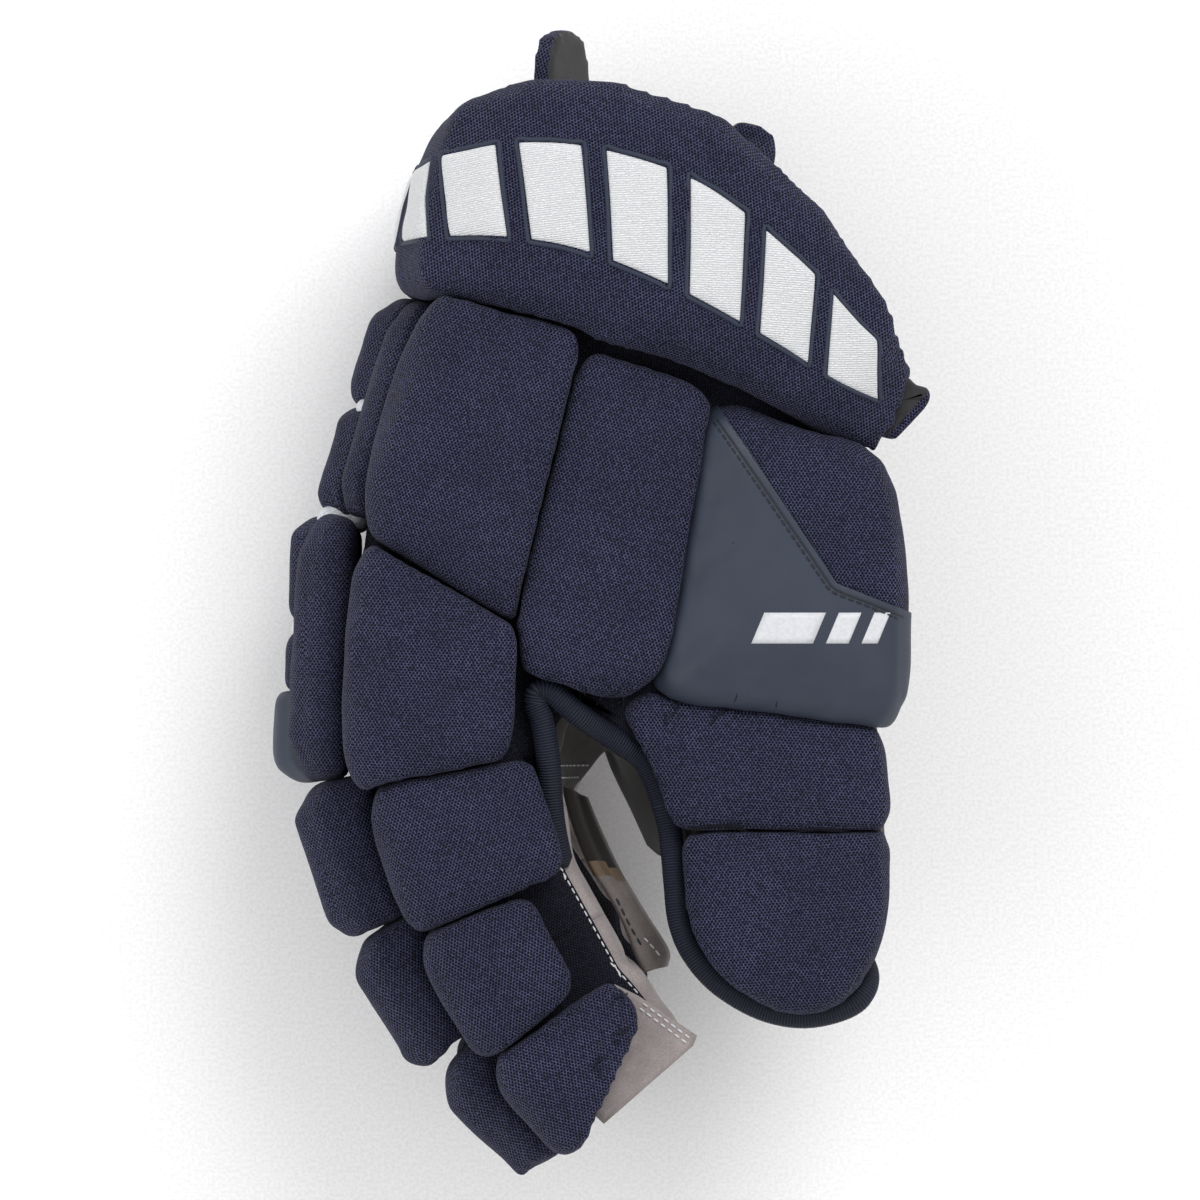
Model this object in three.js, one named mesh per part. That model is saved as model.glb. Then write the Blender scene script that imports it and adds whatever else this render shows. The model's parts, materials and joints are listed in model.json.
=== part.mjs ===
// A right-hand ice hockey glove, lying on its little-finger side.
// +X runs from the back of the hand to the palm, +Y from the fingertips to the cuff,
// and +Z from the little finger up to the thumb side. Millimetres.
import * as THREE from "three";

// ---------------------------------------------------------------- driving dimensions
const FLOOR = 0;
const HAND_TOP = 90; // Y of the rolls' end at the cuff
const HAND_FLEX = 24; // Y of the flex break across the back of the hand
const KNUCKLES = -55; // Y of the flex break at the knuckles
const GAP = 0.6; // between sewn neighbours
const FINGER_PITCH = 25.6; // little finger to ring finger, and so on
const SLEEVE_WIDTH = 24.6;
const SIDE_PAD = 13; // thickness of the pad on the outside of the little and index fingers
const LITTLE_Z = SIDE_PAD + GAP; // where the little finger's sleeve begins
const INDEX_TOP = LITTLE_Z + 3 * FINGER_PITCH + SLEEVE_WIDTH; // where the index sleeve ends
const HAND_HEIGHT = INDEX_TOP + GAP + SIDE_PAD; // little-finger side to thumb side
const WALL = 1.8; // of the liner and of the finger sleeves
const PIVOT_DEPTH = 9; // from a sleeve's back wall to the finger's hinge line
const CUFF_THICK = 18;
const THUMB_SEAT = 103; // Z of the face that the thumb's outer pad is sewn to
const THUMB_RISE = 0.07; // the thumb climbs towards its tip by this share of its length
const THUMB_ROOT = -37; // Y of the thumb's first hinge
const THUMB_SEAM = -71; // Y of the break in the thumb
const THUMB_DEPTH = 24.5; // from that seat to the thumb's palm side
const BRAID_RADIUS = 3.2;
const THUMB_FLEX = 20; // degrees that the thumb's tip can bend at its break

const NAVY = { color: 0x33344a, roughness: 0.85, metalness: 0 };
const SLATE = { color: 0x475060, roughness: 0.45, metalness: 0 };
const LINER = { color: 0x1b1c22, roughness: 0.95, metalness: 0 };
const SUEDE = { color: 0xa69d9c, roughness: 0.9, metalness: 0 };
const DARK_SUEDE = { color: 0x3a3a3c, roughness: 0.9, metalness: 0 };
const WHITE = { color: 0xe6e6ea, roughness: 0.7, metalness: 0 };
const BRAID = { color: 0x20293f, roughness: 0.7, metalness: 0 };
const PLASTIC = { color: 0xd9d9d2, roughness: 0.5, metalness: 0 };

const glove = new THREE.Group();
const hinges = []; // each a name, a point on its line, and the line's direction

// ---------------------------------------------------------------- building solids
/** Indices of a flat cap over one ring, from the ring's own plan. */
function capFaces(plan) {
  return THREE.ShapeUtils.triangulateShape(plan, []);
}

/** A closed solid skinned over rings of equal length; plan shapes the two end caps. */
function skin(rings, plan) {
  const count = rings[0].length;
  const points = rings.flat();
  const faces = [];
  const last = rings.length - 1;
  const spans = plan ? last : rings.length;
  for (let r = 0; r < spans; r++) {
    const a = r * count;
    const b = ((r + 1) % rings.length) * count;
    for (let i = 0; i < count; i++) {
      const j = (i + 1) % count;
      faces.push([a + i, a + j, b + j], [a + i, b + j, b + i]);
    }
  }
  if (plan) {
    const clockwise = THREE.ShapeUtils.isClockWise(plan);
    for (const [i, j, k] of capFaces(plan)) {
      const [p, q] = clockwise ? [j, k] : [k, j];
      faces.push([i, p, q], [last * count + i, last * count + q, last * count + p]);
    }
  }
  const volume = faces.reduce(
    (sum, [i, j, k]) => sum + points[i].dot(points[j].clone().cross(points[k])),
    0,
  );
  const order = volume < 0 ? faces.map(([i, j, k]) => [i, k, j]) : faces;
  const geometry = new THREE.BufferGeometry().setFromPoints(points);
  geometry.setIndex(order.flat());
  geometry.computeVertexNormals();
  return geometry;
}

function add(name, geometry, finish) {
  const mesh = new THREE.Mesh(geometry, new THREE.MeshStandardMaterial(finish));
  mesh.name = name;
  glove.add(mesh);
  return mesh;
}

/** The corners [x, y] of a polygon, each rounded to a radius with a quadratic curve. */
function rounded(corners, radius, steps = 2) {
  const points = corners.map(([x, y]) => new THREE.Vector2(x, y));
  return points.flatMap((corner, i) => {
    const before = points[(i + points.length - 1) % points.length];
    const after = points[(i + 1) % points.length];
    const reach = (to) => Math.min(radius, corner.distanceTo(to) * 0.4);
    const start = before.clone().sub(corner).setLength(reach(before)).add(corner);
    const end = after.clone().sub(corner).setLength(reach(after)).add(corner);
    return new THREE.QuadraticBezierCurve(start, corner, end).getPoints(steps);
  });
}

/** The outline moved inwards by a distance. */
function inset(outline, distance) {
  const inwards = THREE.ShapeUtils.isClockWise(outline) ? -1 : 1;
  return outline.map((point, i) => {
    const before = outline[(i + outline.length - 1) % outline.length];
    const after = outline[(i + 1) % outline.length];
    const along = after.clone().sub(before).normalize();
    return new THREE.Vector2(-along.y, along.x).multiplyScalar(distance * inwards).add(point);
  });
}

/** A crowned slab over an outline in X and Y. The edge is rounded on the side of `outer`. */
function slab(name, corners, seat, outer, finish, { radius = 6, edge = 6, climb = 0 } = {}) {
  const outline = rounded(corners, radius);
  const rise = (y) => climb * (THUMB_ROOT - y);
  const up = outer - seat;
  const soft = Math.min(edge, Math.abs(up) * 0.45);
  const levels = [
    [0, 0],
    [0, up - Math.sign(up) * soft],
    [soft * 0.35, up - Math.sign(up) * soft * 0.3],
    [soft * 1.1, up],
  ];
  const rings = levels.map(([shrink, height]) =>
    inset(outline, shrink).map((p) => new THREE.Vector3(p.x, p.y, seat + height + rise(p.y))),
  );
  return add(name, skin(rings, outline), finish);
}

/** A thin plate over an outline in X and Y, from one Z to another. */
function plate(name, corners, low, high, finish, climb = 0) {
  const outline = rounded(corners, 3, 1);
  const rise = (y) => climb * (THUMB_ROOT - y);
  const ring = (z) => outline.map((p) => new THREE.Vector3(p.x, p.y, z + rise(p.y)));
  return add(name, skin([ring(low), ring(high)], outline), finish);
}

/** A curtain: a line in X and Y with a thickness, standing from one Z to another. */
function curtain(name, line, thickness, low, high, finish) {
  const middle = line.map(([x, y]) => new THREE.Vector2(x, y));
  const sideways = middle.map((point, i) => {
    const before = middle[Math.max(i - 1, 0)];
    const after = middle[Math.min(i + 1, middle.length - 1)];
    const along = after.clone().sub(before).normalize();
    return new THREE.Vector2(-along.y, along.x).multiplyScalar(thickness / 2);
  });
  const outline = [
    ...middle.map((p, i) => p.clone().add(sideways[i])),
    ...middle.map((p, i) => p.clone().sub(sideways[i])).reverse(),
  ];
  const ring = (z) => outline.map((p) => new THREE.Vector3(p.x, p.y, z));
  return add(name, skin([ring(low), ring(high)], outline), finish);
}

// ---------------------------------------------------------------- padded rolls
// A roll's section is a list of [q, z, footQ, footZ]: q is the distance from the seat line
// towards the palm, and the foot is where that point comes down to at the roll's ends.
const END_HEIGHT = 0.72; // a roll's height at its two ends, as a share of its full height
const ROUND_OFF = 0.13; // the share of its length over which an end rounds off

/** Section of a roll on the back of a finger, from its seat out to `thick`. */
function backSection(low, high, thick, seat = 0) {
  const round = Math.min(7, thick * 0.4);
  const base = seat - GAP;
  return [
    [base, low, base, low],
    [base, high, base, high],
    [seat - thick + round, high, base, high],
    [seat - thick, high - round, base, high - round],
    [seat - thick, low + round, base, low + round],
    [seat - thick + round, low, base, low],
  ];
}

/** Section of a roll that wraps the back and the outer side of the index or little finger. */
function cornerSection(low, side, outer, thick, reach) {
  const round = 4.5 * Math.sign(outer - side);
  const face = side + GAP * Math.sign(outer - side);
  return [
    [-GAP, low, -GAP, low],
    [-GAP, face, -GAP, face],
    [reach, face, reach, face],
    [reach, outer - round, reach, face],
    [reach - 3.5, outer, reach - 3.5, face],
    [-thick + 5.5, outer, -GAP, face],
    [-thick, outer - round, -GAP, face],
    [-thick, low, -GAP, low],
  ];
}

/** Rings of a roll. at(t, q, z) places a point, and t runs from 0 to length. */
function rollRings(section, length, at, ends = [END_HEIGHT, END_HEIGHT]) {
  const stations = [
    [0, ends[0]],
    [ROUND_OFF * length, 1],
    [(1 - ROUND_OFF) * length, 1],
    [length, ends[1]],
  ];
  return stations.map(([t, height]) =>
    section.map(([q, z, footQ, footZ]) =>
      at(t, footQ + (q - footQ) * height, footZ + (z - footZ) * height),
    ),
  );
}

function sectionPlan(section) {
  return section.map(([q, z]) => new THREE.Vector2(q, z));
}

// ---------------------------------------------------------------- the back of the hand
/** X of the index column's seat at a height Y: the back of the hand leans out to the knuckles. */
function handSeat(y) {
  const shown = y > HAND_FLEX ? (y - HAND_FLEX) / (HAND_TOP - HAND_FLEX) : 0;
  const below = y < HAND_FLEX ? (HAND_FLEX - y) / (HAND_FLEX - KNUCKLES) : 0;
  return -60.5 + 20.5 * shown - 4 * below;
}

/** A roll on the back of the hand, from Y top to Y bottom, its ends sloped across the hand. */
function handRoll(name, section, top, bottom, finish, slopes = [0, 0]) {
  const length = top - bottom;
  const at = (t, q, z) => {
    const share = t / length;
    const slope = slopes[0] * (1 - share) + slopes[1] * share;
    const y = top - t + slope * Math.max(q, -14);
    return new THREE.Vector3(handSeat(y) + q, y, z);
  };
  return add(name, skin(rollRings(section, length, at), sectionPlan(section)), finish);
}

const column = (place) => {
  const low = LITTLE_Z + place * FINGER_PITCH;
  return { low: low - (FINGER_PITCH - SLEEVE_WIDTH) / 2 + 0.2, high: low + SLEEVE_WIDTH + 0.3 };
};
const [LITTLE, RING, MIDDLE, INDEX] = [0, 1, 2, 3].map(column);
const ARCH = { upper: 8, lower: 14 }; // how far the middle columns stand back from the outer ones

function backOfHand() {
  const indexUpper = cornerSection(INDEX.low, INDEX_TOP, HAND_HEIGHT, 13, 36);
  const indexLower = cornerSection(INDEX.low, INDEX_TOP, HAND_HEIGHT, 13, 35);
  handRoll("index_upper_roll", indexUpper, 88.5, 17.5, NAVY, [-0.25, -0.62]);
  handRoll("index_lower_roll", indexLower, 8.5, -53, NAVY, [-0.53, 0.22]);

  const littleColumn = cornerSection(LITTLE.high, LITTLE_Z, FLOOR, 13, 36);
  handRoll("little_upper_roll", littleColumn, 88, 26, NAVY, [-0.25, 0]);
  handRoll("little_lower_roll", littleColumn, 22, -51, NAVY, [0, 0.38]);

  const middleUpper = backSection(MIDDLE.low, MIDDLE.high, 15.5, -ARCH.upper);
  const middleLower = backSection(MIDDLE.low, MIDDLE.high, 18.5, -ARCH.lower);
  handRoll("middle_upper_roll", middleUpper, 90, 29, NAVY);
  handRoll("middle_lower_roll", middleLower, 22.5, -52, NAVY);

  const ringUpper = backSection(RING.low, RING.high, 22.5, -ARCH.upper);
  const ringLower = backSection(RING.low, RING.high, 21.5, -ARCH.lower);
  const knuckle = backSection(RING.low, RING.high, 24, -ARCH.lower);
  handRoll("ring_roll_1", ringUpper, 91, 62.5, NAVY);
  handRoll("ring_roll_2", ringUpper, 59, 29, NAVY);
  handRoll("ring_roll_3", ringLower, 22.5, -5.5, NAVY);
  handRoll("ring_roll_4", ringLower, -12, -28.5, NAVY);
  handRoll("knuckle_cap", knuckle, -29.5, -53, SLATE);

  const stripe = (seat, reach) => [
    [seat - GAP, RING.low + 1, seat - GAP, RING.low + 1],
    [seat - GAP, RING.high - 1, seat - GAP, RING.high - 1],
    [seat - reach, RING.high - 3, seat - GAP, RING.high - 3],
    [seat - reach, RING.low + 3, seat - GAP, RING.low + 3],
  ];
  handRoll("flex_stripe_1", stripe(-ARCH.upper, 18), 61.9, 59.6, WHITE);
  handRoll("flex_stripe_2", stripe(-ARCH.lower, 13), 27.9, 23.4, WHITE);
  handRoll("flex_stripe_3", stripe(-ARCH.lower, 19), -7, -10.6, WHITE);
}

// ---------------------------------------------------------------- the hand's inner walls
/** The liner behind the rolls: a bent sheet that follows the arch of the knuckles. */
function backLiner() {
  const section = (arch) => {
    const outer = [
      [0, LITTLE_Z + 0.4],
      [0, LITTLE.high],
      [-arch, RING.low + 1],
      [-arch, MIDDLE.high - 1],
      [0, INDEX.low],
      [0, INDEX_TOP - 0.4],
    ];
    return [...outer, ...outer.map(([q, z]) => [q + WALL + 1, z]).reverse()];
  };
  const ring = (y, arch) =>
    section(arch).map(([q, z]) => new THREE.Vector3(handSeat(y) + q, y, z));
  const plan = section(ARCH.lower).map(([q, z]) => new THREE.Vector2(q, z));
  const rings = [
    ring(84, ARCH.upper),
    ring(28.5, ARCH.upper),
    ring(23, ARCH.lower),
    ring(-50, ARCH.lower),
  ];
  add("back_liner", skin(rings, plan), LINER);
}

const PALM_LINE = [
  [36, 55],
  [27, 25],
  [12, -12],
  [-12, -40],
]; // the palm, from the heel of the hand to the roots of the fingers
const PALM_TOP = 76; // Z where the palm gives way to the ball of the thumb

function innerWalls() {
  backLiner();

  const sideWall = [
    [-34, 78],
    [28, 60],
    [12, -20],
    [-17, -36],
    [-57, -50],
    [-55, 22],
  ];
  plate("thumb_side_liner", sideWall, INDEX_TOP - WALL, INDEX_TOP - 0.2, LINER);
  plate("little_side_liner", sideWall, LITTLE_Z + 0.2, LITTLE_Z + WALL, LINER);

  curtain("palm_panel", PALM_LINE, 2, LITTLE_Z + WALL + 0.4, PALM_TOP, SUEDE);

  // Polyethylene shield sewn between the liner and the rolls over the metacarpals.
  const shield = [
    [-ARCH.lower + WALL + 1.4, RING.low + 4],
    [-ARCH.lower + WALL + 1.4, MIDDLE.high - 4],
    [-ARCH.lower + WALL + 3.2, MIDDLE.high - 4],
    [-ARCH.lower + WALL + 3.2, RING.low + 4],
  ];
  const ring = (y) => shield.map(([q, z]) => new THREE.Vector3(handSeat(y) + q, y, z));
  const plan = shield.map(([q, z]) => new THREE.Vector2(q, z));
  add("backhand_shield", skin([ring(20), ring(-46)], plan), PLASTIC);
}

// ---------------------------------------------------------------- the thumb side and heel
const SIDE_ROLL = [
  [-4.5, 73.5],
  [31.5, 62],
  [19, -17],
  [8, -27],
  [-20, -24],
  [-25.5, -6],
];
const THUMB_BLOCK = [
  [34.5, 58.5],
  [90, 41.5],
  [95, 12],
  [94.5, -31],
  [86, -38],
  [21, -29],
  [21.5, -16],
];

function thumbSide() {
  slab("thumb_side_roll", SIDE_ROLL, INDEX_TOP + GAP, HAND_HEIGHT - 2, NAVY, { edge: 5 });
  slab("thumb_base_block", THUMB_BLOCK, 101, 124, SLATE, { radius: 9, edge: 9 });

  // The ball of the thumb: a floor under the base block, and a wall along its palm edge.
  const section = [
    [0, 79],
    [62, 79],
    [62, 100.4],
    [64, 100.4],
    [64, 77],
    [0, 77],
  ];
  const ring = (y, x) => section.map(([q, z]) => new THREE.Vector3(x + q, y, z));
  const plan = section.map(([q, z]) => new THREE.Vector2(q, z));
  add("thenar_panel", skin([ring(42, 24), ring(10, 27), ring(-32, 24)], plan), SUEDE);

  const heel = SIDE_ROLL.map(([x, y]) => [x, y]);
  slab("heel_pad", heel, LITTLE_Z - GAP, FLOOR, NAVY, { edge: 4 });
}

// ---------------------------------------------------------------- the fingers
// place: the finger's column; knuckle: its first hinge line; bends: the angle of each bone from
// -Y towards the palm, in degrees; bones: their lengths; depth: back to palm; flex: how much
// further each joint can bend, which sets how far its palm side is cut back.
const FINGERS = [
  {
    name: "index",
    place: 3,
    knuckle: [-50, -53.5],
    bends: [18, 29, 41.5],
    bones: [44, 40, 34],
    depth: 40,
    flex: 8,
  },
  {
    name: "middle",
    place: 2,
    knuckle: [-67.5, -53.5],
    bends: [18, 33, 47],
    bones: [44, 41, 41],
    depth: 40,
    flex: 15,
  },
  {
    name: "ring",
    place: 1,
    knuckle: [-67.5, -53.5],
    bends: [20, 38, 53],
    bones: [42, 37, 38],
    depth: 40,
    flex: 25,
  },
  {
    name: "little",
    place: 0,
    knuckle: [-50, -51.5],
    bends: [20, 33, 42],
    bones: [36, 30, 31],
    depth: 37,
    flex: 25,
  },
];
const BONE_NAMES = ["proximal", "middle", "distal"];
const BACK_THICK = { index: 13, middle: 21, ring: 21, little: 13 };
const TIP_TAPER = 9; // the length over which a fingertip narrows
const ROLL_BREAK = 1.3; // between a roll and the hinge line, so that the finger can straighten

/** Maps (t along the bone from its hinge, q from its back wall to the palm, z) to a point. */
function boneFrame([x, y], bend) {
  const a = THREE.MathUtils.degToRad(bend);
  return (t, q, z) =>
    new THREE.Vector3(
      x + Math.sin(a) * t + Math.cos(a) * (q - PIVOT_DEPTH),
      y - Math.cos(a) * t + Math.sin(a) * (q - PIVOT_DEPTH),
      z,
    );
}

/** One ring of a finger sleeve: a box with cut corners, leaning back by `cut` past the hinge. */
function sleeveRing(at, t, cut, shrink, low, high, depth) {
  const [q0, q1] = [shrink, depth - shrink];
  const [z0, z1] = [low + shrink, high - shrink];
  const corner = 4;
  const section = [
    [q0 + corner, z0],
    [q1 - corner, z0],
    [q1, z0 + corner],
    [q1, z1 - corner],
    [q1 - corner, z1],
    [q0 + corner, z1],
    [q0, z1 - corner],
    [q0, z0 + corner],
  ];
  return section.map(([q, z]) => at(t + cut * Math.max(0, q - PIVOT_DEPTH), q, z));
}

/** A plan of `count` points on a circle, for capping a ring that is not flat. */
function circlePlan(count) {
  return Array.from({ length: count }, (_, k) => {
    const turn = (2 * Math.PI * (k + 0.5)) / count;
    return new THREE.Vector2(Math.cos(turn), Math.sin(turn));
  });
}

/** A finger sleeve from span[0] to span[1]; a closed one tapers to a rounded fingertip. */
function fingerSleeve(name, at, span, cuts, walls, closed) {
  const shell = (t, cut, shrink) => sleeveRing(at, t, cut, shrink, ...walls);
  const [from, to] = span;
  if (!closed) {
    const outer = [shell(from, cuts[0], 0), shell(to, cuts[1], 0)];
    const inner = [shell(to, cuts[1], WALL), shell(from, cuts[0], WALL)];
    return add(name, skin([...outer, ...inner]), LINER);
  }
  const rings = (wall) => [
    shell(from, cuts[0], wall),
    shell(to - TIP_TAPER, 0, wall),
    shell(to - wall, 0, TIP_TAPER / 2 + wall),
  ];
  const geometry = skin([...rings(WALL).reverse(), ...rings(0)], circlePlan(8));
  return add(name, geometry, LINER);
}

/** How far each joint's two sides are cut back per millimetre past the hinge line. */
function jointCuts({ bends, flex }) {
  return bends.map((bend, i) => {
    const bent = bend - (i ? bends[i - 1] : 0);
    return Math.tan(THREE.MathUtils.degToRad((bent + flex) / 2 + 1));
  });
}

function finger(spec) {
  const { name, place, knuckle, bends, bones, depth } = spec;
  const low = LITTLE_Z + place * FINGER_PITCH;
  const high = low + SLEEVE_WIDTH;
  const thick = BACK_THICK[name];
  const { low: padLow, high: padHigh } = column(place);
  const sections = {
    index: cornerSection(padLow, high, HAND_HEIGHT - 4, thick, 31),
    little: cornerSection(padHigh, low, FLOOR + 0.4, thick, 29),
  };
  const section = sections[name] ?? backSection(padLow, padHigh, thick);
  const cuts = jointCuts(spec);
  let hinge = knuckle;
  BONE_NAMES.forEach((bone, i) => {
    const at = boneFrame(hinge, bends[i]);
    const length = bones[i];
    const tip = i === 2;
    const ends = [cuts[i], tip ? 0 : -cuts[i + 1]];
    const span = [ROLL_BREAK / 2, tip ? length - 1 : length - ROLL_BREAK / 2];
    fingerSleeve(`${name}_${bone}_sleeve`, at, span, ends, [low, high, depth], tip);

    const rollLength = tip ? length - ROLL_BREAK + 1 : length - 2 * ROLL_BREAK;
    const rollAt = (t, q, z) => {
      const share = t / rollLength;
      const cut = ends[0] * (1 - share) + ends[1] * share;
      return at(ROLL_BREAK + t + cut * Math.max(0, q - PIVOT_DEPTH / 2), q, z);
    };
    const heights = [END_HEIGHT, tip ? 0.45 : END_HEIGHT];
    const rings = rollRings(section, rollLength, rollAt, heights);
    add(`${name}_${bone}_roll`, skin(rings, sectionPlan(section)), NAVY);
    const point = new THREE.Vector3(...hinge, (low + high) / 2);
    hinges.push({ name: `${name}_${bone}_hinge`, point, axis: [0, 0, 1] });
    hinge = at(length, PIVOT_DEPTH, 0).toArray().slice(0, 2);
    if (name === "index" && i === 0) {
      const edge = [4, 20, 35].map((t) => at(t, depth - 4.5, high + 3.8).toArray());
      binding("index_edge_binding", edge, BRAID_RADIUS);
    }
  });
}

// ---------------------------------------------------------------- the thumb
const THUMB_PAD = [
  [14, -32],
  [50, -34.4],
  [87, -39.6],
  [90, THUMB_SEAM + 1],
  [25.8, THUMB_SEAM + 1],
  [20.8, -55],
  [9.7, -37.4],
];
const THUMB_TIP = [
  [27.5, THUMB_SEAM - 1],
  [89.5, THUMB_SEAM - 1],
  [88.5, -102],
  [82, -117.5],
  [69, -125],
  [54, -124.5],
  [38, -113],
  [30, -99],
];

/** A tapering sleeve for the thumb: stations are [y, lowest x, highest x, cut]. */
function thumbSleeve(name, stations, closed) {
  const ring = ([y, x0, x1, cut], shrink) => {
    const rise = THUMB_RISE * (THUMB_ROOT - y);
    const [z0, z1] = [THUMB_SEAT - THUMB_DEPTH + shrink, THUMB_SEAT - GAP - shrink];
    const [a, b] = [x0 + shrink, x1 - shrink];
    const corner = 6;
    const section = [
      [a + corner, z0],
      [b - corner, z0],
      [b, z0 + corner],
      [b, z1 - corner],
      [b - corner, z1],
      [a + corner, z1],
      [a, z1 - corner],
      [a, z0 + corner],
    ];
    return section.map(([x, z]) => new THREE.Vector3(x, y + cut * (THUMB_SEAT - z), z + rise));
  };
  const outer = stations.map((s) => ring(s, 0));
  const last = stations.length - 1;
  const inner = stations.map(([y, x0, x1, cut], i) =>
    ring([closed && i === last ? y + WALL : y, x0, x1, cut], WALL),
  );
  if (!closed) return add(name, skin([...outer, ...inner.reverse()]), DARK_SUEDE);
  const plan = circlePlan(outer[0].length);
  return add(name, skin([...inner.reverse(), ...outer], plan), DARK_SUEDE);
}

/** A round binding along points [x, y, z]. */
function binding(name, points, radius) {
  const path = new THREE.CatmullRomCurve3(points.map((p) => new THREE.Vector3(...p)));
  const section = new THREE.Shape();
  const sides = 8;
  for (let i = 0; i < sides; i++) {
    const turn = (2 * Math.PI * i) / sides;
    const [x, y] = [radius * Math.cos(turn), radius * Math.sin(turn)];
    if (i === 0) section.moveTo(x, y);
    else section.lineTo(x, y);
  }
  const steps = points.length * 2;
  const geometry = new THREE.ExtrudeGeometry(section, { steps, extrudePath: path });
  return add(name, geometry, BRAID);
}

function thumb() {
  const climb = THUMB_RISE;
  slab("thumb_base_pad", THUMB_PAD, THUMB_SEAT, THUMB_SEAT + 15, NAVY, { climb, edge: 4 });
  slab("thumb_tip_pad", THUMB_TIP, THUMB_SEAT, THUMB_SEAT + 15, NAVY, { climb, edge: 6 });
  const cut = Math.tan(THREE.MathUtils.degToRad(THUMB_FLEX / 2 + 1));
  const baseStations = [
    [THUMB_ROOT - 8, 21, 82, 0],
    [THUMB_SEAM + 1, 33, 86, cut],
  ];
  thumbSleeve("thumb_base_sleeve", baseStations, false);
  const tipStations = [
    [THUMB_SEAM - 1, 34, 86, -cut],
    [-104, 40, 86, 0],
    [-121, 56, 72, 0],
  ];
  thumbSleeve("thumb_tip_sleeve", tipStations, true);

  // Lock plate: a curved plastic splint inside the thumb, against bending backwards.
  const splint = [
    [45, -77],
    [76, -77],
    [76, -104],
    [60, -114],
    [48, -104],
  ];
  plate("thumb_lock_plate", splint, THUMB_SEAT - 4.4, THUMB_SEAT - 2.8, PLASTIC, climb);

  const line = THUMB_SEAT - 3; // Z of the hinge lines, just under the seat
  const root = new THREE.Vector3(50, THUMB_ROOT + 1.5, line);
  const tipBreak = new THREE.Vector3(58, THUMB_SEAM, line + climb * (THUMB_ROOT - THUMB_SEAM));
  hinges.push({ name: "thumb_base_hinge", point: root, axis: [-1, 0, 0] });
  hinges.push({ name: "thumb_tip_hinge", point: tipBreak, axis: [-1, 0, 0] });

  const height = (y) => THUMB_SEAT - 2.5 + climb * (THUMB_ROOT - y);
  const lift = ([x, y]) => [x, y, height(y)];
  const seam = THUMB_SEAM;
  const baseEdge = [
    [12, -46.5],
    [17, -56],
    [21.8, seam + 1.5],
  ];
  const tipEdge = [
    [22, seam - 1.5],
    [24, -94],
    [33, -115.5],
    [51, -127.5],
    [69, -129.5],
    [83, -122.5],
    [89.5, -106],
  ];
  binding("thumb_tip_binding", tipEdge.map(lift), BRAID_RADIUS);
  const crotch = [
    [-18, -35, INDEX_TOP + 3.6],
    [-9, -33, INDEX_TOP + 3.6],
    [0, -37.5, INDEX_TOP - 3],
    [7.5, -41.5, THUMB_SEAT - 1],
    ...baseEdge.map(lift),
  ];
  binding("crotch_binding", crotch, BRAID_RADIUS);
}

// ---------------------------------------------------------------- the cuff
// Stations round the cuff: the lower edge, the upper edge (both [x, y]), the height z of the
// outer face there, and the direction that it faces, in degrees from -X towards +Z.
const CUFF_UPPER_HALF = [
  { lower: [-63.5, 96], upper: [-50, 146], z: 66, faces: 0 },
  { lower: [-62.5, 95.5], upper: [-48.5, 148], z: 98, faces: 6 },
  { lower: [-54.5, 94.5], upper: [-42, 153], z: 121, faces: 42 },
  { lower: [-33, 92], upper: [-22, 158], z: 131.5, faces: 78 },
  { lower: [-10, 86.5], upper: [4, 157], z: 134, faces: 90 },
  { lower: [18, 74], upper: [37, 146.5], z: 134, faces: 92 },
  { lower: [46, 63.5], upper: [67, 119], z: 130, faces: 100 },
  { lower: [68, 55.5], upper: [86, 93], z: 122, faces: 122 },
  { lower: [84, 52], upper: [94, 77], z: 108, faces: 160 },
];
const CUFF_MIDDLE_Z = 66;
const CUFF_HINGE = [-59, 94];

/** The cuff's stations from the little-finger side over the back to the thumb side. */
function cuffStations(short) {
  const mirrored = CUFF_UPPER_HALF.slice(1, CUFF_UPPER_HALF.length - short)
    .map(({ lower, upper, z, faces }) => ({
      lower,
      upper,
      z: Math.max(2 * CUFF_MIDDLE_Z - z, FLOOR + 0.3),
      faces: -Math.min(faces, 90),
    }))
    .reverse();
  return [...mirrored, ...CUFF_UPPER_HALF];
}

/** Rings of the cuff: profile is a list of [share of the width, depth under the outer face]. */
function cuffRings(profile, short) {
  return cuffStations(short).map(({ lower, upper, z, faces }) => {
    const a = THREE.MathUtils.degToRad(faces);
    const out = new THREE.Vector3(-Math.cos(a), 0, Math.sin(a));
    return profile.map(([share, depth]) => {
      const x = lower[0] + (upper[0] - lower[0]) * share;
      const y = lower[1] + (upper[1] - lower[1]) * share;
      return new THREE.Vector3(x, y, z).addScaledVector(out, -depth);
    });
  });
}

/** A tongue that stands up out of the cuff's liner. */
function tab(name, foot, width, height, lean, thickness = 5) {
  const [x, y, z] = foot;
  const outline = rounded(
    [
      [-width / 2, 0],
      [width / 2, 0],
      [width * 0.36, height],
      [-width * 0.36, height],
    ],
    width * 0.3,
  );
  const turn = new THREE.Euler(...lean.map(THREE.MathUtils.degToRad));
  const ring = (depth) =>
    outline.map((p) =>
      new THREE.Vector3(p.x, p.y, depth).applyEuler(turn).add(new THREE.Vector3(x, y, z)),
    );
  return add(name, skin([ring(0), ring(thickness)], outline), DARK_SUEDE);
}

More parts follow.
